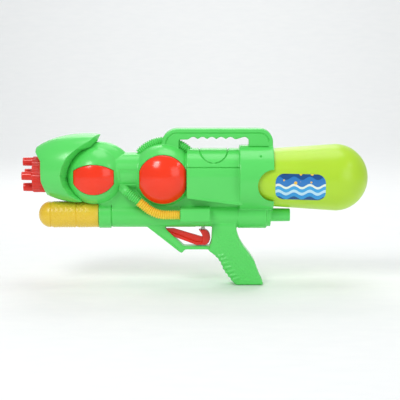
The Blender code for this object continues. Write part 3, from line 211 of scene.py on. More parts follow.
def ball(centre, radius, stretch=(1.0, 1.0, 1.0), fine=96):
    bm = bmesh.new()
    bmesh.ops.create_uvsphere(bm, u_segments=fine, v_segments=fine // 2, radius=radius)
    turn = Matrix.Rotation(math.pi / 2, 4, 'X')
    bm.transform(Matrix.Translation(centre) @ Matrix.Diagonal((*stretch, 1.0)) @ turn)
    return solid_of(bm)


def block(low, high):
    low = Vector(low)
    high = Vector(high)
    bm = bmesh.new()
    bmesh.ops.create_cube(bm, size=1.0)
    bm.transform(Matrix.Translation((low + high) / 2) @ Matrix.Diagonal((*(high - low), 1.0)))
    return solid_of(bm)


def slab(outlines, half, across='Y', middle=0.0):
    """Flat outlines, the first with the rest as holes, thickened by half to either side."""
    curve = bpy.data.curves.new("Slab", 'CURVE')
    curve.dimensions = '2D'
    curve.fill_mode = 'BOTH'
    curve.extrude = half
    for outline in outlines:
        spline = curve.splines.new('POLY')
        spline.points.add(len(outline) - 1)
        for point, (u, v) in zip(spline.points, outline):
            point.co = (u, v, 0.0, 1.0)
        spline.use_cyclic_u = True
    made = bpy.data.objects.new("Slab", curve)
    scene.collection.objects.link(made)
    made.rotation_euler = (math.pi / 2, 0, 0)
    made.location = (0, middle, 0)
    if across == 'X':
        made.rotation_euler = (math.pi / 2, 0, math.pi / 2)
        made.location = (middle, 0, 0)
    flat = settled(made)
    bm = bmesh.new()
    bm.from_mesh(flat.data)
    bpy.data.objects.remove(flat, do_unlink=True)
    return solid_of(bm)


def arc(u, v, radius, start, end, count):
    """Points on a round stretch, from one angle in degrees to another."""
    angles = [math.radians(start + (end - start) * step / count) for step in range(count + 1)]
    return [(u + radius * math.cos(a), v + radius * math.sin(a)) for a in angles]


def tube(points, radius, swell=None, resolution=6):
    """A round closed tube through the points, with a radius factor at each if given."""
    curve = bpy.data.curves.new("Tube", 'CURVE')
    curve.dimensions = '3D'
    curve.bevel_depth = radius
    curve.bevel_resolution = resolution
    curve.use_fill_caps = True
    spline = curve.splines.new('POLY')
    spline.points.add(len(points) - 1)
    for index, place in enumerate(points):
        spline.points[index].co = (*place, 1.0)
        spline.points[index].radius = swell[index] if swell else 1.0
    made = bpy.data.objects.new("Tube", curve)
    scene.collection.objects.link(made)
    flat = settled(made)
    bm = bmesh.new()
    bm.from_mesh(flat.data)
    bpy.data.objects.remove(flat, do_unlink=True)
    return solid_of(bm)


def walked(route, spacing):
    """Points at even steps along a route of points, ends included."""
    route = [Vector(place) for place in route]
    lengths = [0.0]
    for before, after in zip(route, route[1:]):
        lengths.append(lengths[-1] + (after - before).length)
    count = max(2, round(lengths[-1] / spacing))
    points = []
    leg = 0
    for step in range(count + 1):
        along = lengths[-1] * step / count
        while leg < len(route) - 2 and along > lengths[leg + 1]:
            leg += 1
        share = (along - lengths[leg]) / (lengths[leg + 1] - lengths[leg])
        points.append(route[leg].lerp(route[leg + 1], share))
    return points


def ribbed(route, radius, pitch, depth, per_rib=6):
    """A tube with rounded ribs at that pitch along a route."""
    points = walked(route, pitch / per_rib)
    turns = [2 * math.pi * step / per_rib for step in range(len(points))]
    return tube(points, radius, [1.0 - depth / radius * (0.5 - 0.5 * math.cos(turn)) ** 2 for turn in turns])


def merged(solids):
    """Several forms as one object, overlapping as they are."""
    bm = bmesh.new()
    for solid in solids:
        bm.from_mesh(solid.data)
        bpy.data.objects.remove(solid, do_unlink=True)
    mesh = bpy.data.meshes.new("Merged")
    bm.to_mesh(mesh)
    bm.free()
    made = bpy.data.objects.new("Merged", mesh)
    scene.collection.objects.link(made)
    return made


def cast(solid, voxel, rounds):
    """Fuse the overlapping forms into one skin and ease its edges, as a moulding tool does."""
    skin = solid.modifiers.new("Skin", 'REMESH')
    skin.mode = 'VOXEL'
    skin.voxel_size = voxel
    if rounds:
        ease = solid.modifiers.new("Ease", 'SMOOTH')
        ease.factor = 0.5
        ease.iterations = rounds
    return settled(solid)


def boolean(target, others, operation):
    """One form cut by others, or kept only inside them."""
    for other in others:
        step = target.modifiers.new("Step", 'BOOLEAN')
        step.operation = operation
        step.solver = 'MANIFOLD'
        step.object = other
    made = settled(target)
    for other in others:
        bpy.data.objects.remove(other, do_unlink=True)
    return made


def piece(solid, name, material, body, slot, *replaced):
    """Name a finished piece, and say what it is made of, what it rides on and what it stands for."""
    solid.name = name
    solid.data.name = name
    solid.data.materials.clear()
    solid.data.materials.append(material)
    solid.data.shade_smooth()
    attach(solid, body)
    if replaced:
        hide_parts(*replaced)
    return solid


REAR_BALL = Vector((-0.118, 0.0, BARREL_Z))
REAR_BALL_R = 0.043
FRONT_BALL = Vector((-0.211, 0.0, BARREL_Z))
FRONT_BALL_R = 0.041
NECK_R = 0.026
NECK_Z = BARREL_Z + 0.004
CREST = Vector((-0.2046, 0.0, BARREL_Z - 0.004))
CREST_SIZE = Vector((0.049, 0.026, 0.049))
CREST_X0 = -0.2230
CREST_X1 = -0.1560
MUZZLE_R = 0.0165
MUZZLE_X = -0.2747
UPPER_X0 = -0.0859
UPPER_R = 0.036
UPPER_FOOT_HALF = 0.031
UPPER_FOOT_Z = 0.117
UPPER_FALL = 0.0094
UPPER_THICKER = 1.4
COLLAR_X0 = -0.0145
COLLAR_X1 = 0.0313
COLLAR_R = 0.0445
NOTCH_R = 0.0218
NOTCH_Z = 0.140
WEB_X0 = -0.203
WEB_X1 = 0.020
WEB_HALF = 0.013
TUBE_R = 0.0175
FRONT_RING_X0 = -0.2057
FRONT_RING_X1 = -0.1890
FRONT_RING_R = 0.0187
SLEEVE_X0 = -0.0160
SLEEVE_X1 = 0.0224
SLEEVE_R = 0.0190
SLEEVE_STEP_X = SLEEVE_X1 + 0.0058
SLEEVE_STEP_R = 0.0165
STUB_X = SLEEVE_X1 + 0.0326
STUB_Z = PUMP_Z - 0.0008
STUB_R = 0.0092
STUB_END_R = 0.0088
HANDLE_HALF = 0.011
GRIP_HALF = 0.015
GUARD_HALF = 0.0090
HOSE_Y = 0.0244
HOSE_END_Z = 0.0986
HOSE_R = 0.0064
HOSE_RING_DEPTH = 0.0015
HOSE_BEND = 0.042
HOSE_SLOPE = 39
HOSE_HEAD = 0.014
HOSE_FOOT = 0.0185
CONNECTOR = 0.022
CONNECTOR_ROOT = 0.012
SOCKET_BLOCK_X0 = -0.0945
SOCKET_BLOCK_X1 = -0.0545
PUMP_HANDLE_R = 0.0177
REAR_LENS_R = 0.0335
REAR_LENS_HALF = 0.0315
REAR_LENS_DROP = 0.0042
FRONT_LENS_HALF = 0.027
FRONT_LENS_TOP = (0.0167, 0.0082)
FRONT_LENS_FOOT = (-0.0240, -0.0095)
LENS_SEAT_Y = 0.0179

# Carry handle: its root in the barrel, its two upper corners, and the five scallops of its window.
HANDLE_ROOT_Z = BARREL_Z + 0.013
HANDLE_FRONT = -0.120
HANDLE_REAR = COLLAR_X1 - GAP
FRONT_CORNER = (-0.099, 0.193, 0.021)
REAR_CORNER = (HANDLE_REAR - 0.018, 0.196, 0.018)
WINDOW_X0 = -0.0966
WINDOW_X1 = -0.0020
WINDOW_CORNER = 0.006
WINDOW_CORNER_Z = 0.197
CUSP_Z = 0.1993
SCALLOP_X = -0.0836
SCALLOP = 0.0126
SCALLOP_RISE = 0.0037
SCALLOPS = 5


def handle_arcs(inset):
    """The handle's upper edge, or a line that runs inside it by the inset."""
    return [arc(u, v, radius - inset, start, start - 90, count) for (u, v, radius), start, count in
            ((FRONT_CORNER, 180, 16), (REAR_CORNER, 90, 14))]


front_arc, rear_arc = handle_arcs(0.0)
handle_outline = [(HANDLE_FRONT, HANDLE_ROOT_Z), *front_arc, *rear_arc, (HANDLE_REAR, HANDLE_ROOT_Z)]
window = [(WINDOW_X0, HANDLE_ROOT_Z), (WINDOW_X0, CUSP_Z)]
for step in range(10 * SCALLOPS):
    share = step % 10 / 10
    window.append((SCALLOP_X + SCALLOP * step / 10, CUSP_Z + SCALLOP_RISE * (1 - (2 * share - 1) ** 2)))
window += [(SCALLOP_X + SCALLOPS * SCALLOP, CUSP_Z),
           *arc(WINDOW_X1 - WINDOW_CORNER, WINDOW_CORNER_Z, WINDOW_CORNER, 90, 0, 8),
           (WINDOW_X1, HANDLE_ROOT_Z)]

# Grip and trigger guard, seen from the side.
GRIP_FRONT = ((-0.0515, 0.0860), (-0.0525, 0.0600), (-0.0571, 0.0476), (-0.0457, 0.0394),
              (-0.0395, 0.0315), (-0.0354, 0.0208))
GRIP_TOE_X = -0.0195
GRIP_HEEL_X = 0.0195
GRIP_BACK = ((0.0105, 0.0208), (0.0064, 0.0326), (0.0000, 0.0422), (-0.0075, 0.0517), (-0.0144, 0.0631),
             (-0.0180, 0.0743), (-0.0186, 0.0860))
grip_outline = [*GRIP_FRONT, (GRIP_TOE_X, 0.0), (GRIP_HEEL_X, 0.0), *GRIP_BACK]
guard_root = PUMP_Z - TUBE_R + WALL
guard_outline = [(-0.1420, guard_root), (-0.0952, 0.0441), (-0.0925, 0.0435), (-0.0885, 0.0483),
                 (-0.0546, 0.0483), (-0.0546, 0.0530), (-0.0900, 0.0530), (-0.1129, 0.0748),
                 (-0.1180, guard_root)]


def upper_outline(inset):
    """The straight body seen from behind: round above, narrowing to its foot."""
    half = UPPER_FOOT_HALF - inset
    foot = UPPER_FOOT_Z + inset
    return [*arc(0.0, BARREL_Z, UPPER_R - inset, 0, 180, 48), (-half, foot), (half, foot)]


def upper_form(inset):
    """The straight body behind the rear ball, with a foot that falls towards the rear."""
    x0 = UPPER_X0 + inset
    x1 = COLLAR_X0 + WALL + inset
    made = slab([upper_outline(inset)], (x1 - x0) / 2, 'X', (x0 + x1) / 2)
    for vert in made.data.vertices:
        if vert.co.z < BARREL_Z - UPPER_R / 2:
            vert.co.z += UPPER_FALL * ((COLLAR_X0 - vert.co.x) / (COLLAR_X0 - UPPER_X0) - 0.5)
    return made


def hose_route(side):
    """From the moulded connector under the neck to the socket block on the pump tube."""
    end = Vector((SOCKET_BLOCK_X0 - GAP, HOSE_END_Z))
    bend = arc(end.x - HOSE_FOOT, end.y + HOSE_BEND, HOSE_BEND, -90 - HOSE_SLOPE, -90, 24)
    slope = math.radians(HOSE_SLOPE)
    heading = Vector((math.cos(slope), -math.sin(slope)))
    start = Vector(bend[0]) - HOSE_HEAD * heading
    return [(x, side * HOSE_Y, z) for x, z in (tuple(start), *bend, tuple(end))], start, heading


def connector_route(side):
    """The moulded connector that a hose plugs into, bent in to its root under the neck."""
    _, start, heading = hose_route(side)
    mouth = start - GAP * heading
    back = start - CONNECTOR * heading
    root = back - CONNECTOR_ROOT * Vector((0.6, -0.5))
    return [(mouth.x, side * HOSE_Y, mouth.y), (back.x, side * HOSE_Y, back.y),
            (root.x, side * (HOSE_Y - CONNECTOR_ROOT), root.y)]


def lens_outline(which, grow):
    """A lens seen from the side: round above and below, flat before and behind."""
    if which == "rear":
        radius = REAR_LENS_R + grow
        middle = BARREL_Z - REAR_LENS_DROP
        turn = math.degrees(math.acos((REAR_LENS_HALF + grow) / radius))
        return (arc(REAR_BALL.x, middle, radius, turn, 180 - turn, 40)
                + arc(REAR_BALL.x, middle, radius, 180 + turn, 360 - turn, 40))
    outline = []
    for tip, edge, middle in ((*FRONT_LENS_TOP, 90), (*FRONT_LENS_FOOT, 270)):
        rise = abs(tip - edge)
        radius = (FRONT_LENS_HALF ** 2 + rise ** 2) / (2 * rise)
        turn = math.degrees(math.asin((FRONT_LENS_HALF + grow) / (radius + grow)))
        centre_z = BARREL_Z + tip - math.copysign(radius, tip)
        outline += arc(FRONT_BALL.x, centre_z, radius + grow, middle - turn, middle + turn, 32)
    return outline


def lens_prism(which, side, grow, near):
    """A lens outline as a prism from near the middle plane out past the ball."""
    return slab([lens_outline(which, grow)], (FAR - near) / 2, 'Y', side * (FAR + near) / 2)


def barrel_forms(inset, fine=96):
    """The round forms along the barrel and the pump tube, drawn in by the inset."""
    return [
        ball(FRONT_BALL, FRONT_BALL_R - inset, fine=fine),
        ball(REAR_BALL, REAR_BALL_R - inset, fine=fine),
        along_x(FRONT_BALL.x, REAR_BALL.x, NECK_Z, NECK_R - inset, sides=fine),
        along_x(MUZZLE_X + inset, FRONT_BALL.x, BARREL_Z, MUZZLE_R - inset, sides=fine),
        upper_form(UPPER_THICKER * inset),
        block((WEB_X0 + inset, inset - WEB_HALF, PUMP_Z), (WEB_X1 - inset, WEB_HALF - inset, BARREL_Z)),
        along_x(FRONT_RING_X0 + inset, SLEEVE_X0 + 2 * WALL, PUMP_Z, TUBE_R - inset, sides=fine),
        along_x(SLEEVE_X0 + inset, SLEEVE_X1 - inset, PUMP_Z, SLEEVE_R - inset, sides=fine),
        along_x(SLEEVE_X0 + 3 * WALL, SLEEVE_STEP_X - inset, PUMP_Z, SLEEVE_STEP_R - inset, sides=fine),
    ]


# The flat forms are cast first by themselves, each with the edge radius that its coarse skin gives.
handle = cast(slab([handle_outline, window], HANDLE_HALF), 0.0012, 6)
grip = cast(slab([grip_outline], GRIP_HALF), 0.0014, 16)
guard = cast(slab([guard_outline], GUARD_HALF), 0.0011, 4)
collar = boolean(along_x(COLLAR_X0, COLLAR_X1, TANK_Z, COLLAR_R, sides=160),
                 [along_x(COLLAR_X0 + WALL, COLLAR_X1 + WALL, TANK_Z, COLLAR_R - WALL, sides=160)],
                 'DIFFERENCE')
crest = boolean(ball(CREST, 1.0, CREST_SIZE),
                [block((CREST_X0, -FAR, BARREL_Z), (CREST_X1, FAR, 2 * BARREL_Z))], 'INTERSECT')
solids = barrel_forms(0.0) + [
    handle, grip, guard, collar, crest,
    along_x(SLEEVE_X1 - WALL, STUB_X, STUB_Z, STUB_R, STUB_END_R),
    along_x(FRONT_RING_X0, FRONT_RING_X1, PUMP_Z, FRONT_RING_R, sides=96),
]
# Each side has a block that the hose ends in and a bead along the straight body's foot.
SOCKET_Y0 = 0.0105
SOCKET_Y1 = 0.0335
SOCKET_HALF = 0.0095
SOCKET_CORNER = 0.0042
BEAD_R = 0.0017
BEAD_RISE = 0.0016
for side in (-1, 1):
    corner_y = SOCKET_Y1 - SOCKET_CORNER
    corner_z = SOCKET_HALF - SOCKET_CORNER
    corners = [(SOCKET_Y0, HOSE_END_Z - SOCKET_HALF),
               *arc(corner_y, HOSE_END_Z - corner_z, SOCKET_CORNER, -90, 0, 10),
               *arc(corner_y, HOSE_END_Z + corner_z, SOCKET_CORNER, 0, 90, 10),
               (SOCKET_Y0, HOSE_END_Z + SOCKET_HALF)]
    solids.append(slab([[(side * y, z) for y, z in corners]], (SOCKET_BLOCK_X1 - SOCKET_BLOCK_X0) / 2, 'X',
                       (SOCKET_BLOCK_X0 + SOCKET_BLOCK_X1) / 2))
    bead_y = side * (UPPER_FOOT_HALF - 0.0002)
    bead_z = UPPER_FOOT_Z + BEAD_RISE
    solids.append(tube([(UPPER_X0 + 0.0010, bead_y, bead_z + UPPER_FALL / 2),
                        (COLLAR_X0, bead_y, bead_z - UPPER_FALL / 2)], BEAD_R))
# Finger ribs wrap round the grip's front edge, 6.4 mm apart.
RIB_PITCH = 0.0064
RIB_R = 0.0015
RIB_REACH = 0.0105
for place in walked([(x, 0.0, z) for x, z in (*GRIP_FRONT[3:], (-0.0250, 0.0070))], RIB_PITCH):
    half_loop = [(place.x + RIB_REACH, GRIP_HALF - 0.0002, place.z + 0.0028),
                 (place.x + 0.0028, GRIP_HALF + 0.0002, place.z + 0.0008),
                 (place.x + 0.0004, GRIP_HALF - 0.0030, place.z)]
    solids.append(tube([(x, -y, z) for x, y, z in half_loop] + half_loop[::-1], RIB_R, resolution=4))
FIRST_SKIN = 0.0008
body = cast(merged(solids), FIRST_SKIN, 0)

# What is cut away: the pump handle's run, the trigger's slots, the rod's hole, the muzzle's bore, the
# tank's thumb notches and the tank socket's hole; then the lens seats and the hollow of the shell.
FAR_FRONT_X = -0.300
HINGE_SLOT = ((-0.1214, -0.0048, 0.0650), (-0.0994, 0.0048, 0.0790))
BLADE_SLOT = ((-0.0740, -0.0063, 0.0533), (-0.0515, 0.0063, PUMP_Z))
ROD_HOLE_R = 0.0048
MUZZLE_BORE_R = 0.0075
SOCKET_HOLE_R = 0.0218
cuts = [
    along_x(FAR_FRONT_X, FRONT_RING_X0 - GAP / 2, PUMP_Z, PUMP_HANDLE_R + RUN, sides=96),
    block(*HINGE_SLOT),
    block(*BLADE_SLOT),
    along_x(FRONT_RING_X0 - WALL, FRONT_RING_X0 + 2 * WALL, PUMP_Z, ROD_HOLE_R, sides=32),
    along_x(MUZZLE_X - WALL, MUZZLE_X + 2 * WALL, BARREL_Z, MUZZLE_BORE_R, sides=32),
    rod((COLLAR_X1, -FAR, NOTCH_Z), (COLLAR_X1, FAR, NOTCH_Z), NOTCH_R, sides=96),
    along_x(COLLAR_X0, COLLAR_X0 + 2 * WALL, TANK_Z, SOCKET_HOLE_R, sides=64),
]
for side in (-1, 1):
    cuts += [lens_prism(which, side, GAP, LENS_SEAT_Y) for which in ("front", "rear")]
cuts += barrel_forms(WALL, 48)
# Grooves: a seam and a half-moon on the straight body, a panel on the neck, a line inside the handle's
# edge and across its root, one along the guard's strut, one behind the front ring, and a small hole.
GROOVE = 0.0022
SEAM_Z0 = 0.1630
SEAM_Z1 = 0.1646
MOON = (-0.0496, 0.189)
MOON_R0 = 0.0188
MOON_R1 = 0.0203
PANEL = ((-0.1765, -FAR, 0.1390), (-0.1545, FAR, 0.1605))
STRUT_GROOVE = 0.0012
RING_GROOVE = 0.0014
HOLE_X = 0.0136
HOLE_Z = 0.1785
HOLE_R = 0.0014
HOLE_Y = -0.0290
seam = block((UPPER_X0 - WALL, -FAR, SEAM_Z0), (COLLAR_X0, FAR, SEAM_Z1))
half_moon = arc(*MOON, MOON_R1, 180, 360, 40) + arc(*MOON, MOON_R0, 360, 180, 40)
within_upper = slab([upper_outline(GROOVE)], FAR, 'X', (UPPER_X0 + COLLAR_X0) / 2)
cuts.append(boolean(merged([seam, slab([half_moon], FAR)]), [within_upper], 'DIFFERENCE'))
within_neck = along_x(FRONT_BALL.x, REAR_BALL.x, NECK_Z, NECK_R - GROOVE / 2, sides=96)
cuts.append(boolean(block(*PANEL), [within_neck], 'DIFFERENCE'))
outer_line, inner_line = [sum(handle_arcs(inset), []) for inset in (0.0050, 0.0067)]
edge_lines = [outer_line + inner_line[::-1],
              [(-0.012, 0.1890), (0.0250, 0.1890), (0.0250, 0.1905), (-0.012, 0.1905)]]
strut_line = [(-0.1330, 0.0745), (-0.0975, 0.0480), (-0.0965, 0.0494), (-0.1316, 0.0757)]
for side in (-1, 1):
    cuts += [slab([line], 0.8 * GROOVE, 'Y', side * HANDLE_HALF) for line in edge_lines]
    cuts.append(slab([strut_line], STRUT_GROOVE, 'Y', side * GUARD_HALF))
within_tube = along_x(FRONT_RING_X0, SLEEVE_X0, PUMP_Z, TUBE_R - STRUT_GROOVE, sides=96)
cuts.append(boolean(along_x(FRONT_RING_X1, FRONT_RING_X1 + RING_GROOVE, PUMP_Z, FRONT_RING_R, sides=96),
                    [within_tube], 'DIFFERENCE'))
cuts.append(rod((HOLE_X, -FAR, HOLE_Z), (HOLE_X, HOLE_Y, HOLE_Z), HOLE_R, sides=24))
SCREW_SINK_R = 0.0034
SCREW_SINK = 0.0022
SCREWS = [name for name in nodes if name.startswith("body_screw_")]
for screw in SCREWS:
    low, high = [Vector(corner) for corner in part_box(screw)]
    middle = (low + high) / 2
    cuts.append(rod((middle.x, high.y - SCREW_SINK, middle.z), (middle.x, FAR, middle.z), SCREW_SINK_R,
                    sides=32))
SKIN = 0.0006
body = cast(boolean(body, cuts, 'DIFFERENCE'), SKIN, 1)
# Pebbles: the grip's sides carry small moulded mounds about 3 mm apart and 0.5 mm high, scattered as in
# an etched tool; they stop short of the ribs, the foot and the grip's root.
PEBBLE_PITCH = 0.0030
PEBBLE_HEIGHT = 0.0005
PEBBLE_FOOT_Z = 0.0040
PEBBLE_TOP_Z = 0.0760
PEBBLE_WANDER = 2.6
PEBBLE_SEED = 7
noise.seed_set(PEBBLE_SEED)
knee_x, knee_z = GRIP_FRONT[2]
for vert in body.data.vertices:
    x, y, z = vert.co
    if abs(y) < GRIP_HALF - 0.0012 or not PEBBLE_FOOT_Z < z < PEBBLE_TOP_Z:
        continue
    front = GRIP_TOE_X + (knee_x - GRIP_TOE_X) * min(1.0, z / knee_z)
    fade = min(1.0, max(0.0, (x - front - RIB_REACH) / PEBBLE_PITCH))
    fade *= min(1.0, (z - PEBBLE_FOOT_Z) / PEBBLE_PITCH) * min(1.0, (PEBBLE_TOP_Z - z) / PEBBLE_PITCH)
    wander = PEBBLE_WANDER * noise.noise_vector(Vector((x, 0.0, z)) / (2 * PEBBLE_PITCH))
    wave = math.cos(math.pi * x / PEBBLE_PITCH + wander.x) * math.cos(math.pi * z / PEBBLE_PITCH + wander.z)
    vert.co.y += math.copysign(PEBBLE_HEIGHT * fade * max(0.0, wave), y)

# Ribbed top moulding: it looks like a hose laid over the rear ball, with rings 2.9 mm apart.
ARCH_R = REAR_BALL_R + 0.0024
MOULDED_RING = 0.0029
arch_line = arc(REAR_BALL.x + 0.0025, BARREL_Z, ARCH_R, 140, 40, 80)
arch = ribbed([(x, 0.0, z) for x, z in arch_line], HOSE_R, MOULDED_RING, 0.0017, per_rib=8)

# Moulded ABS: one even saturated green with a soft gloss, faint flow marks and a grain of 1 mm.
FLOW = 0.055
green, tree, shader = new_material("Green injection-moulded ABS")


def fine_skin(tree, shader, colour, deep, roughness, grain, height):
    """Slow flow marks in the colour, and a fine grain in the gloss and the relief, of that size in metres."""
    place = node(tree, "ShaderNodeTexCoord").outputs["Object"]
    flow = node(tree, "ShaderNodeTexNoise", {"Vector": place, "Scale": 1 / FLOW, "Detail": 2.0})
    tint = node(tree, "ShaderNodeMix", {0: flow.outputs["Fac"], 6: linear(deep), 7: linear(colour)},
                data_type='RGBA')
    tree.links.new(tint.outputs[2], shader.inputs["Base Color"])
    fine = node(tree, "ShaderNodeTexNoise", {"Vector": place, "Scale": 1 / grain, "Detail": 3.0})
    gloss = node(tree, "ShaderNodeMapRange",
                 {"Value": fine.outputs["Fac"], "To Min": roughness - 0.05, "To Max": roughness + 0.05})
    tree.links.new(gloss.outputs["Result"], shader.inputs["Roughness"])
    relief = node(tree, "ShaderNodeBump",
                  {"Height": fine.outputs["Fac"], "Strength": 0.25, "Distance": height})
    tree.links.new(relief.outputs["Normal"], shader.inputs["Normal"])
    return place


fine_skin(tree, shader, "#5FDF68", "#58D762", 0.24, 0.0011, 0.00004)


def halved(solid, keep):
    """What lies on one side of the middle plane, closed again where it is cut."""
    bm = bmesh.new()
    bm.from_mesh(solid.data)
    cut = bmesh.ops.bisect_plane(bm, geom=bm.verts[:] + bm.edges[:] + bm.faces[:],
                                 plane_co=(0, keep * GAP / 2, 0), plane_no=(0, keep, 0), clear_inner=True)
    rim = [edge for edge in cut["geom_cut"] if isinstance(edge, bmesh.types.BMEdge)]
    bmesh.ops.triangle_fill(bm, edges=rim, use_beauty=False, use_dissolve=False)
    return solid_of(bm)


for name, keep in (("left_shell", -1), ("right_shell", 1)):
    connector = ribbed(connector_route(keep), HOSE_R, MOULDED_RING, HOSE_RING_DEPTH, per_rib=8)
    piece(merged([halved(body, keep), halved(arch, keep), connector]), name, green, "housing",
          "green_shell", name.replace("shell", "body_half"))
for whole in (body, arch):
    bpy.data.objects.remove(whole, do_unlink=True)

# Nose cowl: a green moulded hood clipped over the muzzle in front of the ball, open behind.
# Same ABS as the body, with a thick rounded edge where it stands off the ball.
COWL = Vector((-0.222, 0.0, 0.161))
COWL_SIZE = Vector((0.085, 0.045, 0.046))
COWL_CHIN = 1.075
COWL_BAND = 0.0120
COWL_FACE_X = -0.2825
COWL_BROW_X = -0.2904
COWL_TIP_X = -0.203
NOZZLE_R = 0.0245


def hood(inset):
    """The cowl's egg-shaped form, a little deeper below its middle than above."""
    made = ball(COWL, 1.0, COWL_SIZE - Vector((inset, inset, inset)), fine=144)
    for vert in made.data.vertices:
        if vert.co.z < COWL.z:
            vert.co.z += (COWL_CHIN - 1.0) * (vert.co.z - COWL.z)
    return made


# The mouth's outer edge and the inner edge of its band, on one side from the tip down to the chin.
EDGE_OUT = ((-0.2162, 0.0247, 0.1992), (-0.2332, 0.0350, 0.1893), (-0.2451, 0.0397, 0.1789),
            (-0.2530, 0.0425, 0.1657), (-0.2557, 0.0415, 0.1540), (-0.2530, 0.0379, 0.1399),
            (-0.2451, 0.0300, 0.1262), (-0.2332, 0.0225, 0.1187), (-0.2230, 0.0110, 0.1130))
EDGE_IN = ((-0.2162, 0.0143, 0.1891), (-0.2298, 0.0165, 0.1835), (-0.2400, 0.0198, 0.1721),
           (-0.2451, 0.0200, 0.1619), (-0.2477, 0.0180, 0.1480), (-0.2451, 0.0185, 0.1379),
           (-0.2383, 0.0190, 0.1279), (-0.2290, 0.0165, 0.1215), (-0.2190, 0.0080, 0.1165))


def cowl_mouth(forward):
    """What is cut from the cowl's rear: it leaves a broad band from the cowl's edge in to the ball."""
    rings = []
    for top, side_points, foot in (((-0.2080, 0.0, 0.1950), EDGE_IN, (-0.2150, 0.0, 0.1150)),
                                   ((COWL_TIP_X, 0.0, tip_z), EDGE_OUT, (-0.2190, 0.0, 0.1110))):
        mirrored = [(x, -y, z) for x, y, z in side_points[::-1]]
        rings.append([Vector(place) for place in (top, *side_points, foot, *mirrored)])
    rings.append([2 * outer - inner for inner, outer in zip(*rings)])
    bm = bmesh.new()
    layers = [[bm.verts.new((place.x - forward, place.y, place.z)) for place in ring] for ring in rings]
    layers.append([bm.verts.new((REAR_BALL.x, place.y, place.z)) for place in rings[-1]])
    count = len(rings[0])
    for inner, outer in zip(layers, layers[1:]):
        for i in range(count):
            bm.faces.new((inner[i - 1], inner[i], outer[i], outer[i - 1]))
    for layer, x in ((layers[0], FRONT_BALL.x - 0.015), (layers[-1], REAR_BALL.x)):
        centre = bm.verts.new((x, 0.0, BARREL_Z))
        for i in range(count):
            bm.faces.new((layer[i - 1], layer[i], centre))
    return solid_of(bm)


far_x = COWL.x - 2 * COWL_SIZE.x
low = COWL.z - 2 * COWL_SIZE.z
high = COWL.z + 2 * COWL_SIZE.z
tip_z = COWL.z + COWL_SIZE.z * math.sqrt(1 - ((COWL_TIP_X - COWL.x) / COWL_SIZE.x) ** 2)
face = [(far_x, low), (COWL_FACE_X + 0.012, low), (COWL_FACE_X + 0.006, BARREL_Z - NOZZLE_R),
        (COWL_FACE_X, BARREL_Z - NOZZLE_R / 4), (COWL_FACE_X, 0.172), (COWL_BROW_X, 0.183),
        (COWL_BROW_X, high), (far_x, high)]
hollow = boolean(hood(WALL), [block((far_x, -FAR, low), (COWL_FACE_X + WALL, FAR, high)),
                              cowl_mouth(COWL_BAND)], 'DIFFERENCE')
cowl = boolean(hood(0.0), [
    slab([face], FAR),
    cowl_mouth(0.0),
    hollow,
    ball(FRONT_BALL, FRONT_BALL_R + GAP, fine=144),
    ball(CREST, 1.0, CREST_SIZE + Vector((GAP, GAP, GAP)), fine=144),
    along_x(far_x, COWL_FACE_X + 4 * WALL, BARREL_Z, NOZZLE_R + RUN, sides=96),
    along_x(far_x, FRONT_RING_X0, PUMP_Z, PUMP_HANDLE_R + RUN, sides=96),
], 'DIFFERENCE')
piece(cast(cowl, SKIN, 5), "nose_hood", green, "housing", "green_shell", "nose_cowl")

# Side lenses: four red moulded covers that stand a little proud of the balls, held by a lip inside.
# Gloss ABS in one colour right through, with a softly rounded rim: a bright orange red, smooth enough
# to show the lamps as sharp glints.
LENS_PROUD = 0.0012
LENS_LIP = 0.0020
LENS_LIP_WALL = 0.0014
red, tree, shader = new_material("Red gloss moulded ABS")
fine_skin(tree, shader, "#FF3A12", "#F8340F", 0.18, 0.00083, 0.00002)
for side, word in ((-1, "left"), (1, "right")):
    for which, centre, radius in (("front", FRONT_BALL, FRONT_BALL_R), ("rear", REAR_BALL, REAR_BALL_R)):
        behind = radius - WALL - GAP
        cap = boolean(ball(centre, radius + LENS_PROUD, fine=144),
                      [lens_prism(which, side, 0.0, LENS_SEAT_Y + GAP)], 'INTERSECT')
        lip = boolean(ball(centre, behind), [lens_prism(which, side, LENS_LIP, LENS_SEAT_Y + GAP)],
                      'INTERSECT')
        lens = cast(merged([cap, lip]), SKIN, 0)
        lens = boolean(lens, [ball(centre, behind - LENS_LIP_WALL)], 'DIFFERENCE')
        piece(cast(lens, SKIN, 4), f"{word}_{which}_cover", red, "housing", "red_lens",
              f"{word}_{which}_lens")

# Ribbed hoses: two yellow corrugated tubes from the connectors under the neck to the socket blocks.
# Soft blow-moulded PVC with its rings 3 mm apart: a warm yellow with a satin skin that dulls the lamps.
HOSE_RING = 0.0030
hose_yellow, tree, shader = new_material("Yellow satin blow-moulded PVC")
fine_skin(tree, shader, "#FBD640", "#F2C934", 0.38, 0.0007, 0.00003)
for side, word in ((-1, "left"), (1, "right")):
    route, _, _ = hose_route(side)
    hose = ribbed(route, HOSE_R, HOSE_RING, HOSE_RING_DEPTH, per_rib=10)
    piece(hose, f"{word}_ribbed_hose", hose_yellow, "housing", "yellow_hose", f"{word}_hose")

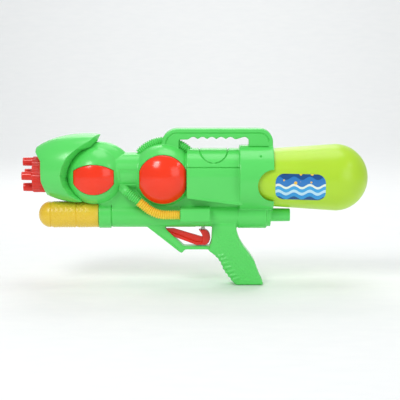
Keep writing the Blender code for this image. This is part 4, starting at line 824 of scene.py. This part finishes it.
# Nozzle head: a red turning cap with a knurled rim and four tips of different bore round a screw.
# Gloss moulded plastic, a deeper red than the lenses with the same sharp glints; the knurls and the
# tips come from the moulding tool.
NOZZLE_FACE_X = -0.295
NOZZLE_REAR_X = -0.2755
TIP_R = 0.0060
TIP_TAPER = 0.0004
TIP_X = NOZZLE_FACE_X - 0.014
TIP_BORES = (0.0010, 0.0014, 0.0018, 0.0022)
SPIGOT_ROOM_X = NOZZLE_FACE_X + 0.0035
KNURLS = 36
KNURL_DEPTH = 0.0008
FINE_SKIN = 0.0004
rim = []
for step in range(8 * KNURLS):
    angle = 2 * math.pi * step / (8 * KNURLS)
    radius = NOZZLE_R - KNURL_DEPTH * (0.5 - 0.5 * math.cos(KNURLS * angle))
    rim.append((radius * math.cos(angle), BARREL_Z + radius * math.sin(angle)))
solids = [slab([rim], (NOZZLE_REAR_X - NOZZLE_FACE_X) / 2, 'X', (NOZZLE_REAR_X + NOZZLE_FACE_X) / 2)]
holes = [
    along_x(SPIGOT_ROOM_X, NOZZLE_REAR_X + GAP, BARREL_Z, 0.0073, sides=48),
    along_x(NOZZLE_FACE_X - GAP, NOZZLE_FACE_X + 0.007, BARREL_Z, 0.0018, sides=24),
    along_x(NOZZLE_REAR_X - 0.0028, NOZZLE_REAR_X + GAP, BARREL_Z, 0.0098, sides=48),
]
ring = NOZZLE_R - KNURL_DEPTH - TIP_R - GAP
for turn, bore in enumerate(TIP_BORES):
    y = ring * math.cos(math.pi / 2 * turn)
    z = BARREL_Z + ring * math.sin(math.pi / 2 * turn)
    solids.append(along_x(SPIGOT_ROOM_X, TIP_X, z, TIP_R, TIP_R - TIP_TAPER, sides=48, y=y))
    holes.append(along_x(TIP_X - 2 * GAP, NOZZLE_REAR_X + GAP, z, bore, sides=24, y=y))
head = boolean(cast(merged(solids), FINE_SKIN, 3), holes, 'DIFFERENCE')
nozzle_red, tree, shader = new_material("Deep red gloss moulded plastic")
fine_skin(tree, shader, "#E62812", "#DA220F", 0.22, 0.00083, 0.00002)
piece(head, "nozzle_cap", nozzle_red, "nozzle_head", "red_nozzle", "nozzle_head")

# Water tank: a lime bottle with a domed end, screwed into the socket behind the collar.
# Blow-moulded polyethylene, thin and slightly see-through, so light glows a little in its wall.
TANK_WALL = 0.0018
NECK_X0 = -0.026
NECK_X1 = -0.008
TANK_SHOULDER = 0.012
TANK_FRONT_R = 0.0378
TANK_REAR_R = 0.0455
DOME_X = 0.116
DOME_LENGTH = 0.0445
NECK_R_OUT = 0.0136
NECK_R_IN = 0.0114


def lathe(profile, z, sides):
    """A closed profile of (x, radius) points turned about a line along X."""
    bm = bmesh.new()
    loop = [bm.verts.new((x, 0.0, r)) for x, r in profile]
    edges = [bm.edges.new((loop[i - 1], loop[i])) for i in range(len(loop))]
    bmesh.ops.spin(bm, geom=loop + edges, cent=(0, 0, 0), axis=(1, 0, 0), dvec=(0, 0, 0), angle=2 * math.pi,
                   steps=sides, use_duplicate=False)
    bm.transform(Matrix.Translation((0.0, 0.0, z)))
    return solid_of(bm)


def tank_line(inset, neck_r, bends):
    """One face of the tank's wall, from the neck's mouth to the end of the dome."""
    angles = [math.pi / 2 * step / bends for step in range(bends + 1)]
    foot = NECK_X1 + inset
    rise = TANK_FRONT_R - inset - neck_r
    shoulder = [(foot + TANK_SHOULDER * (1 - math.cos(a)), neck_r + rise * math.sin(a)) for a in angles]
    length, radius = DOME_LENGTH - inset, TANK_REAR_R - inset
    dome = [(DOME_X + length * math.sin(a), radius * math.cos(a)) for a in angles]
    return [(NECK_X0, neck_r), *shoulder, *dome]


tank = lathe(tank_line(TANK_WALL, NECK_R_IN, 24)[::-1] + tank_line(0.0, NECK_R_OUT, 24), TANK_Z, 144)
lime, tree, shader = new_material("Lime blow-moulded polyethylene")
fine_skin(tree, shader, "#BDEB34", "#B3E12E", 0.30, 0.0014, 0.00004)
shader.inputs["Subsurface Weight"].default_value = 0.25
shader.inputs["Subsurface Radius"].default_value = (0.6, 1.0, 0.2)
shader.inputs["Subsurface Scale"].default_value = 0.008
piece(tank, "water_tank", lime, "tank", "lime_tank", "tank")

# Tank label: a printed gloss film stuck on the left side of the tank, below its middle.
# A plain blue panel with pale wave bands and drops; the film is thin, with rounded corners.
LABEL_X0 = 0.0330
LABEL_X1 = 0.1000
LABEL_TURN = math.radians(-13)
LABEL_HALF = 0.0190
LABEL_CORNER = 0.0120
FILM = 0.0001
FILM_COLUMNS = 96
FILM_ROWS = 48
tank_lean = (TANK_REAR_R - TANK_FRONT_R) / (DOME_X - NECK_X1 - TANK_SHOULDER)
bm = bmesh.new()
layers = []
for lift in (FILM, -FILM):
    grid = []
    for column in range(FILM_COLUMNS + 1):
        x = LABEL_X0 + (LABEL_X1 - LABEL_X0) * column / FILM_COLUMNS
        radius = TANK_FRONT_R + tank_lean * (x - NECK_X1 - TANK_SHOULDER) + lift
        from_end = min(x - LABEL_X0, LABEL_X1 - x)
        short = 0.0
        if from_end < LABEL_CORNER:
            short = LABEL_CORNER - math.sqrt(LABEL_CORNER ** 2 - (LABEL_CORNER - from_end) ** 2)
        line = []
        for row in range(FILM_ROWS + 1):
            turn = LABEL_TURN + (2 * row / FILM_ROWS - 1) * (LABEL_HALF - short) / radius
            line.append(bm.verts.new((x, -radius * math.cos(turn), TANK_Z + radius * math.sin(turn))))
        grid.append(line)
    layers.append(grid)
for grid, order in ((layers[0], 1), (layers[1], -1)):
    for column in range(FILM_COLUMNS):
        for row in range(FILM_ROWS):
            near, next_one = grid[column], grid[column + 1]
            bm.faces.new((near[row], next_one[row], next_one[row + 1], near[row + 1])[::order])
outer, inner = layers
border = [(c, 0) for c in range(FILM_COLUMNS)] + [(FILM_COLUMNS, r) for r in range(FILM_ROWS)]
border += [(c, FILM_ROWS) for c in range(FILM_COLUMNS, 0, -1)] + [(0, r) for r in range(FILM_ROWS, 0, -1)]
for (c, r), (c2, r2) in zip(border, border[1:] + border[:1]):
    bm.faces.new((outer[c2][r2], outer[c][r], inner[c][r], inner[c2][r2]))
label = solid_of(bm)
# Print under gloss film: flat clear colours with hard edges and a shine of their own. The waves are
# 21 mm long and 4.4 mm high, the drops about 11 mm apart and 4 mm across.
WAVE_LENGTH = 0.021
WAVE_RISE = 0.0022
PRINT_Z0 = 0.117
PRINT_Z1 = 0.157
DROP_SPACING = 0.0111
DROP_SHARE = 0.20
DROPS_Z = 0.1405
BANDS = ((0.16, "#2F9BE0"), (0.30, "#BFE6F7"), (0.40, "#3FA9E6"), (0.52, "#E9F3E6"), (0.60, "#2B7CC6"),
         (0.84, "#17508F"))
film, tree, shader = new_material("Printed gloss polypropylene film")
place = fine_skin(tree, shader, "#2F86CE", "#2678C2", 0.22, 0.00067, 0.00001)
axes = node(tree, "ShaderNodeSeparateXYZ", {0: place})
swell = node(tree, "ShaderNodeMath", {0: axes.outputs["X"], 1: 2 * math.pi / WAVE_LENGTH},
             operation='MULTIPLY')
ripple = node(tree, "ShaderNodeMath", {0: swell.outputs[0]}, operation='SINE')
height = node(tree, "ShaderNodeMath", {0: ripple.outputs[0], 1: WAVE_RISE, 2: axes.outputs["Z"]},
              operation='MULTIPLY_ADD')
share = node(tree, "ShaderNodeMapRange",
             {"Value": height.outputs[0], "From Min": PRINT_Z0, "From Max": PRINT_Z1})
colours = node(tree, "ShaderNodeValToRGB", {"Fac": share.outputs["Result"]})
ramp = colours.color_ramp
ramp.interpolation = 'CONSTANT'
for spot, shade in BANDS:
    ramp.elements.new(spot).color = linear(shade)
ramp.elements[0].color = linear("#17508F")
ramp.elements[-1].color = linear("#123F74")
drops = node(tree, "ShaderNodeTexVoronoi", {"Vector": place, "Scale": 1 / DROP_SPACING, "Randomness": 0.55})
round_drop = node(tree, "ShaderNodeMath", {0: drops.outputs["Distance"], 1: DROP_SHARE},
                  operation='LESS_THAN')
aloft = node(tree, "ShaderNodeMath", {0: axes.outputs["Z"], 1: DROPS_Z}, operation='GREATER_THAN')
shown = node(tree, "ShaderNodeMath", {0: round_drop.outputs[0], 1: aloft.outputs[0]}, operation='MULTIPLY')
printed = node(tree, "ShaderNodeMix",
               {0: shown.outputs[0], 6: colours.outputs["Color"], 7: linear("#F3C64A")}, data_type='RGBA')
tree.links.new(printed.outputs[2], shader.inputs["Base Color"])
piece(label, "tank_label", film, "tank", None)

# Pump handle: a yellow sleeve with a domed end that the hand slides to and fro.
# Moulded ABS with two turned rings and rows of small raised dots for the fingers.
HANDLE_X0 = -0.2885
HANDLE_X1 = -0.2060
RING_DEPTH = 0.0008
DOME = 0.0160
DOTS_X0 = -0.2690
DOTS_X1 = -0.2200
DOT_STEP = 0.0005
DOT_PITCH = 0.0034
DOT_HEIGHT = 0.0005
DOT_FOOT = 0.3
RINGS = ((-0.2710, -0.2384), (-0.2366, DOTS_X1))
RING_HALF = 0.0012
SLEEVE_BORE_R = 0.0155
EDGE = 0.0008
line = [(HANDLE_X0 + DOME * (1 - math.cos(a)), PUMP_HANDLE_R * math.sin(a))
        for a in [math.pi / 2 * step / 24 for step in range(25)]]
for ring_x, run_end in RINGS:
    line += [(ring_x + RING_HALF * share, PUMP_HANDLE_R - RING_DEPTH * math.cos(math.pi / 2 * share) ** 2)
             for share in [step / 6 for step in range(-6, 7)]]
    count = round((run_end - ring_x - RING_HALF) / DOT_STEP)
    line += [(run_end - DOT_STEP * (count - 1 - step), PUMP_HANDLE_R) for step in range(count)]
line += [(HANDLE_X1 - EDGE, PUMP_HANDLE_R), (HANDLE_X1, PUMP_HANDLE_R - EDGE), (HANDLE_X1, SLEEVE_BORE_R),
         (HANDLE_X0 + PUMP_HANDLE_R, SLEEVE_BORE_R), (-0.2804, 0.0109), (-0.2826, 0.0065),
         (-0.2666, 0.0065), (-0.2666, 0.0043), (-0.2797, 0.0043), (-0.2797, 0.0)]
sleeve = lathe(line, PUMP_Z, 192)
# The dots stand in rows 3.4 mm apart along the sleeve and round it, behind the rings, 0.5 mm high.
rows = round(math.pi * PUMP_HANDLE_R / DOT_PITCH)
for vert in sleeve.data.vertices:
    drop = vert.co.z - PUMP_Z
    radius = math.hypot(vert.co.y, drop)
    if radius > PUMP_HANDLE_R - GAP and DOTS_X0 < vert.co.x < DOTS_X1:
        wave = math.sin(rows * math.atan2(drop, vert.co.y)) * math.sin(math.pi * vert.co.x / DOT_PITCH)
        grown = 1 + DOT_HEIGHT * max(0.0, wave - DOT_FOOT) / (1 - DOT_FOOT) / radius
        vert.co.y *= grown
        vert.co.z = PUMP_Z + grown * drop
# Moulded ABS: a warm yellow with a soft gloss, broken up by the dots.
yellow, tree, shader = new_material("Yellow moulded ABS with raised dots")
fine_skin(tree, shader, "#F0CC3C", "#E8C034", 0.28, 0.0011, 0.00003)
piece(sleeve, "pump_sleeve", yellow, "pump", "yellow_handle", "pump_handle")

# Trigger: a red lever hinged at its front end in the guard, with a curved finger blade behind.
# Gloss moulded ABS with rounded edges and a flange along the arm, returned by the valve's spring: a
# clear red with soft glints along its edges.
PIVOT = Vector((-0.117, 0.0738))
BLADE_X = -0.0655
BLADE_TOP_Z = 0.0752
BLADE_FOOT_Z = 0.0542
BLADE_BACK_X = -0.0540
BLADE_HOOK = 0.0044
BLADE_LEAN = 0.0020
BOSS_R = 0.0036
BOSS_HALF = 0.0040
PIN_HOLE_R = 0.0018
belly_x = BLADE_X + 0.0040
arm = [(PIVOT.x, PIVOT.y - 0.95 * BOSS_R), (-0.0730, BLADE_FOOT_Z - GAP), (BLADE_X, BLADE_FOOT_Z),
       (belly_x, BLADE_FOOT_Z + 0.0100), (-0.1040, 0.0768), (PIVOT.x + RUN, PIVOT.y + 0.85 * BOSS_R)]
flange = [arm[0], *arm[1:3], (BLADE_X + 0.0020, BLADE_FOOT_Z + 0.0042), (-0.0735, BLADE_FOOT_Z + 0.0042),
          (PIVOT.x + RUN, PIVOT.y + 0.40 * BOSS_R)]
height = BLADE_TOP_Z - BLADE_FOOT_Z
blade = []
for step in range(25):
    angle = math.pi * (step / 24 - 0.5)
    blade.append((belly_x + (BLADE_BACK_X - belly_x) * math.cos(angle),
                  BLADE_FOOT_Z + height / 2 * (1 + math.sin(angle))))
for step in range(16):
    share = step / 15
    blade.append((BLADE_X - BLADE_HOOK * (2 * share - 1) ** 2 + BLADE_LEAN * share,
                  BLADE_TOP_Z - height * share))
boss, pin_hole = [rod((PIVOT.x, -half, PIVOT.y), (PIVOT.x, half, PIVOT.y), radius, sides=sides)
                  for half, radius, sides in ((BOSS_HALF, BOSS_R, 48), (1.5 * BOSS_HALF, PIN_HOLE_R, 24))]
lever = merged([boss, slab([arm], 0.0026), slab([flange], 0.0044), slab([blade], 0.0055)])
lever = boolean(cast(lever, FINE_SKIN, 4), [pin_hole], 'DIFFERENCE')
trigger_red, tree, shader = new_material("Red moulded ABS")
fine_skin(tree, shader, "#FA2A12", "#EE240E", 0.22, 0.0009, 0.00002)
piece(lever, "trigger_lever", trigger_red, "trigger", "red_trigger", "trigger")

# Screws: nine pan-head screws with cross recesses, driven through the right half into the left one.
# Steel with bright zinc plating, which gives a fine-grained cool metal shine.
HEAD_R = 0.0030
HEAD_HEIGHT = 0.0020
SHANK_R = 0.0015
SLOT_REACH = 0.0017
SLOT_HALF = 0.0004
SLOT_DEPTH = 0.0010
zinc, tree, shader = new_material("Bright zinc-plated steel")
fine_skin(tree, shader, "#C6C8CA", "#B9BCC0", 0.32, 0.0004, 0.00001)
shader.inputs["Metallic"].default_value = 1.0
for name in SCREWS:
    box_low, box_high = [Vector(corner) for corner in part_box(name)]
    x = (box_low.x + box_high.x) / 2
    z = (box_low.z + box_high.z) / 2
    top = box_high.y
    slots = [block((x - across, top - SLOT_DEPTH, z - up), (x + across, top + SLOT_DEPTH, z + up))
             for across, up in ((SLOT_REACH, SLOT_HALF), (SLOT_HALF, SLOT_REACH))]
    head = cast(rod((x, top - HEAD_HEIGHT, z), (x, top, z), HEAD_R, sides=48), 0.00025, 3)
    head = boolean(head, slots, 'DIFFERENCE')
    shank = rod((x, box_low.y, z), (x, top - 0.9 * HEAD_HEIGHT, z), SHANK_R, sides=32)
    piece(merged([head, shank]), name.replace("body_", "shell_"), zinc, "housing", "zinc_steel", name)

# Inner works: white acetal pump, valve and socket pieces, milky PVC lines, black rubber seals and
# two plated steel pins. They keep the forms of the solids, with their edges eased. The acetal is a
# cool white with a waxy sheen, the PVC lets a little light through, and the rubber is black and dull.
EASED = 0.0002
white, tree, shader = new_material("White moulded acetal")
fine_skin(tree, shader, "#ECECE8", "#E4E4DF", 0.40, 0.0010, 0.00003)
milky, tree, shader = new_material("Milky extruded PVC")
fine_skin(tree, shader, "#DDE2DF", "#D3D9D5", 0.35, 0.00125, 0.00003)
shader.inputs["Subsurface Weight"].default_value = 0.2
shader.inputs["Subsurface Scale"].default_value = 0.003
rubber, tree, shader = new_material("Black moulded rubber")
fine_skin(tree, shader, "#161616", "#101010", 0.62, 0.0006, 0.00004)
INNER = {
    white: ("nozzle_spigot", "tank_socket", "pump_rod", "pump_piston", "pump_cylinder", "pump_guide_ring",
            "pump_end_cap", "valve_body", "valve_stem"),
    milky: ("pickup_tube", "pressure_tube", "feed_tube", "outlet_tube"),
    rubber: ("nozzle_o_ring", "tank_seal", "piston_ring", "check_valve_disc", "valve_seal"),
    zinc: ("nozzle_screw", "trigger_pin"),
}
for material, names in INNER.items():
    for name in names:
        solid = nodes[name]
        solid.data.materials.clear()
        solid.data.materials.append(material)
        ease = solid.modifiers.new("Eased edges", 'BEVEL')
        ease.width = EASED
        ease.segments = 2
        ease.limit_method = 'ANGLE'

# Valve spring: a coil of plated wire between the stem's collar and the valve, pressed by the trigger.
WIRE_R = 0.00055
SPRING_TURNS = 5
COIL_STEPS = 32
box_low, box_high = [Vector(corner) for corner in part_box("valve_spring")]
axis_x = (box_low.x + box_high.x) / 2
coil_r = (box_high.x - box_low.x) / 2 - WIRE_R
pitch = (box_high.z - box_low.z - 2 * WIRE_R) / SPRING_TURNS
coil = []
for step in range(SPRING_TURNS * COIL_STEPS + 1):
    turns = step / COIL_STEPS
    angle = 2 * math.pi * turns
    coil.append((axis_x + coil_r * math.cos(angle), coil_r * math.sin(angle),
                 box_low.z + WIRE_R + pitch * turns))
spring = piece(tube(coil, WIRE_R), "valve_return_spring", zinc, "housing", "zinc_steel", "valve_spring")
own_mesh(spring)
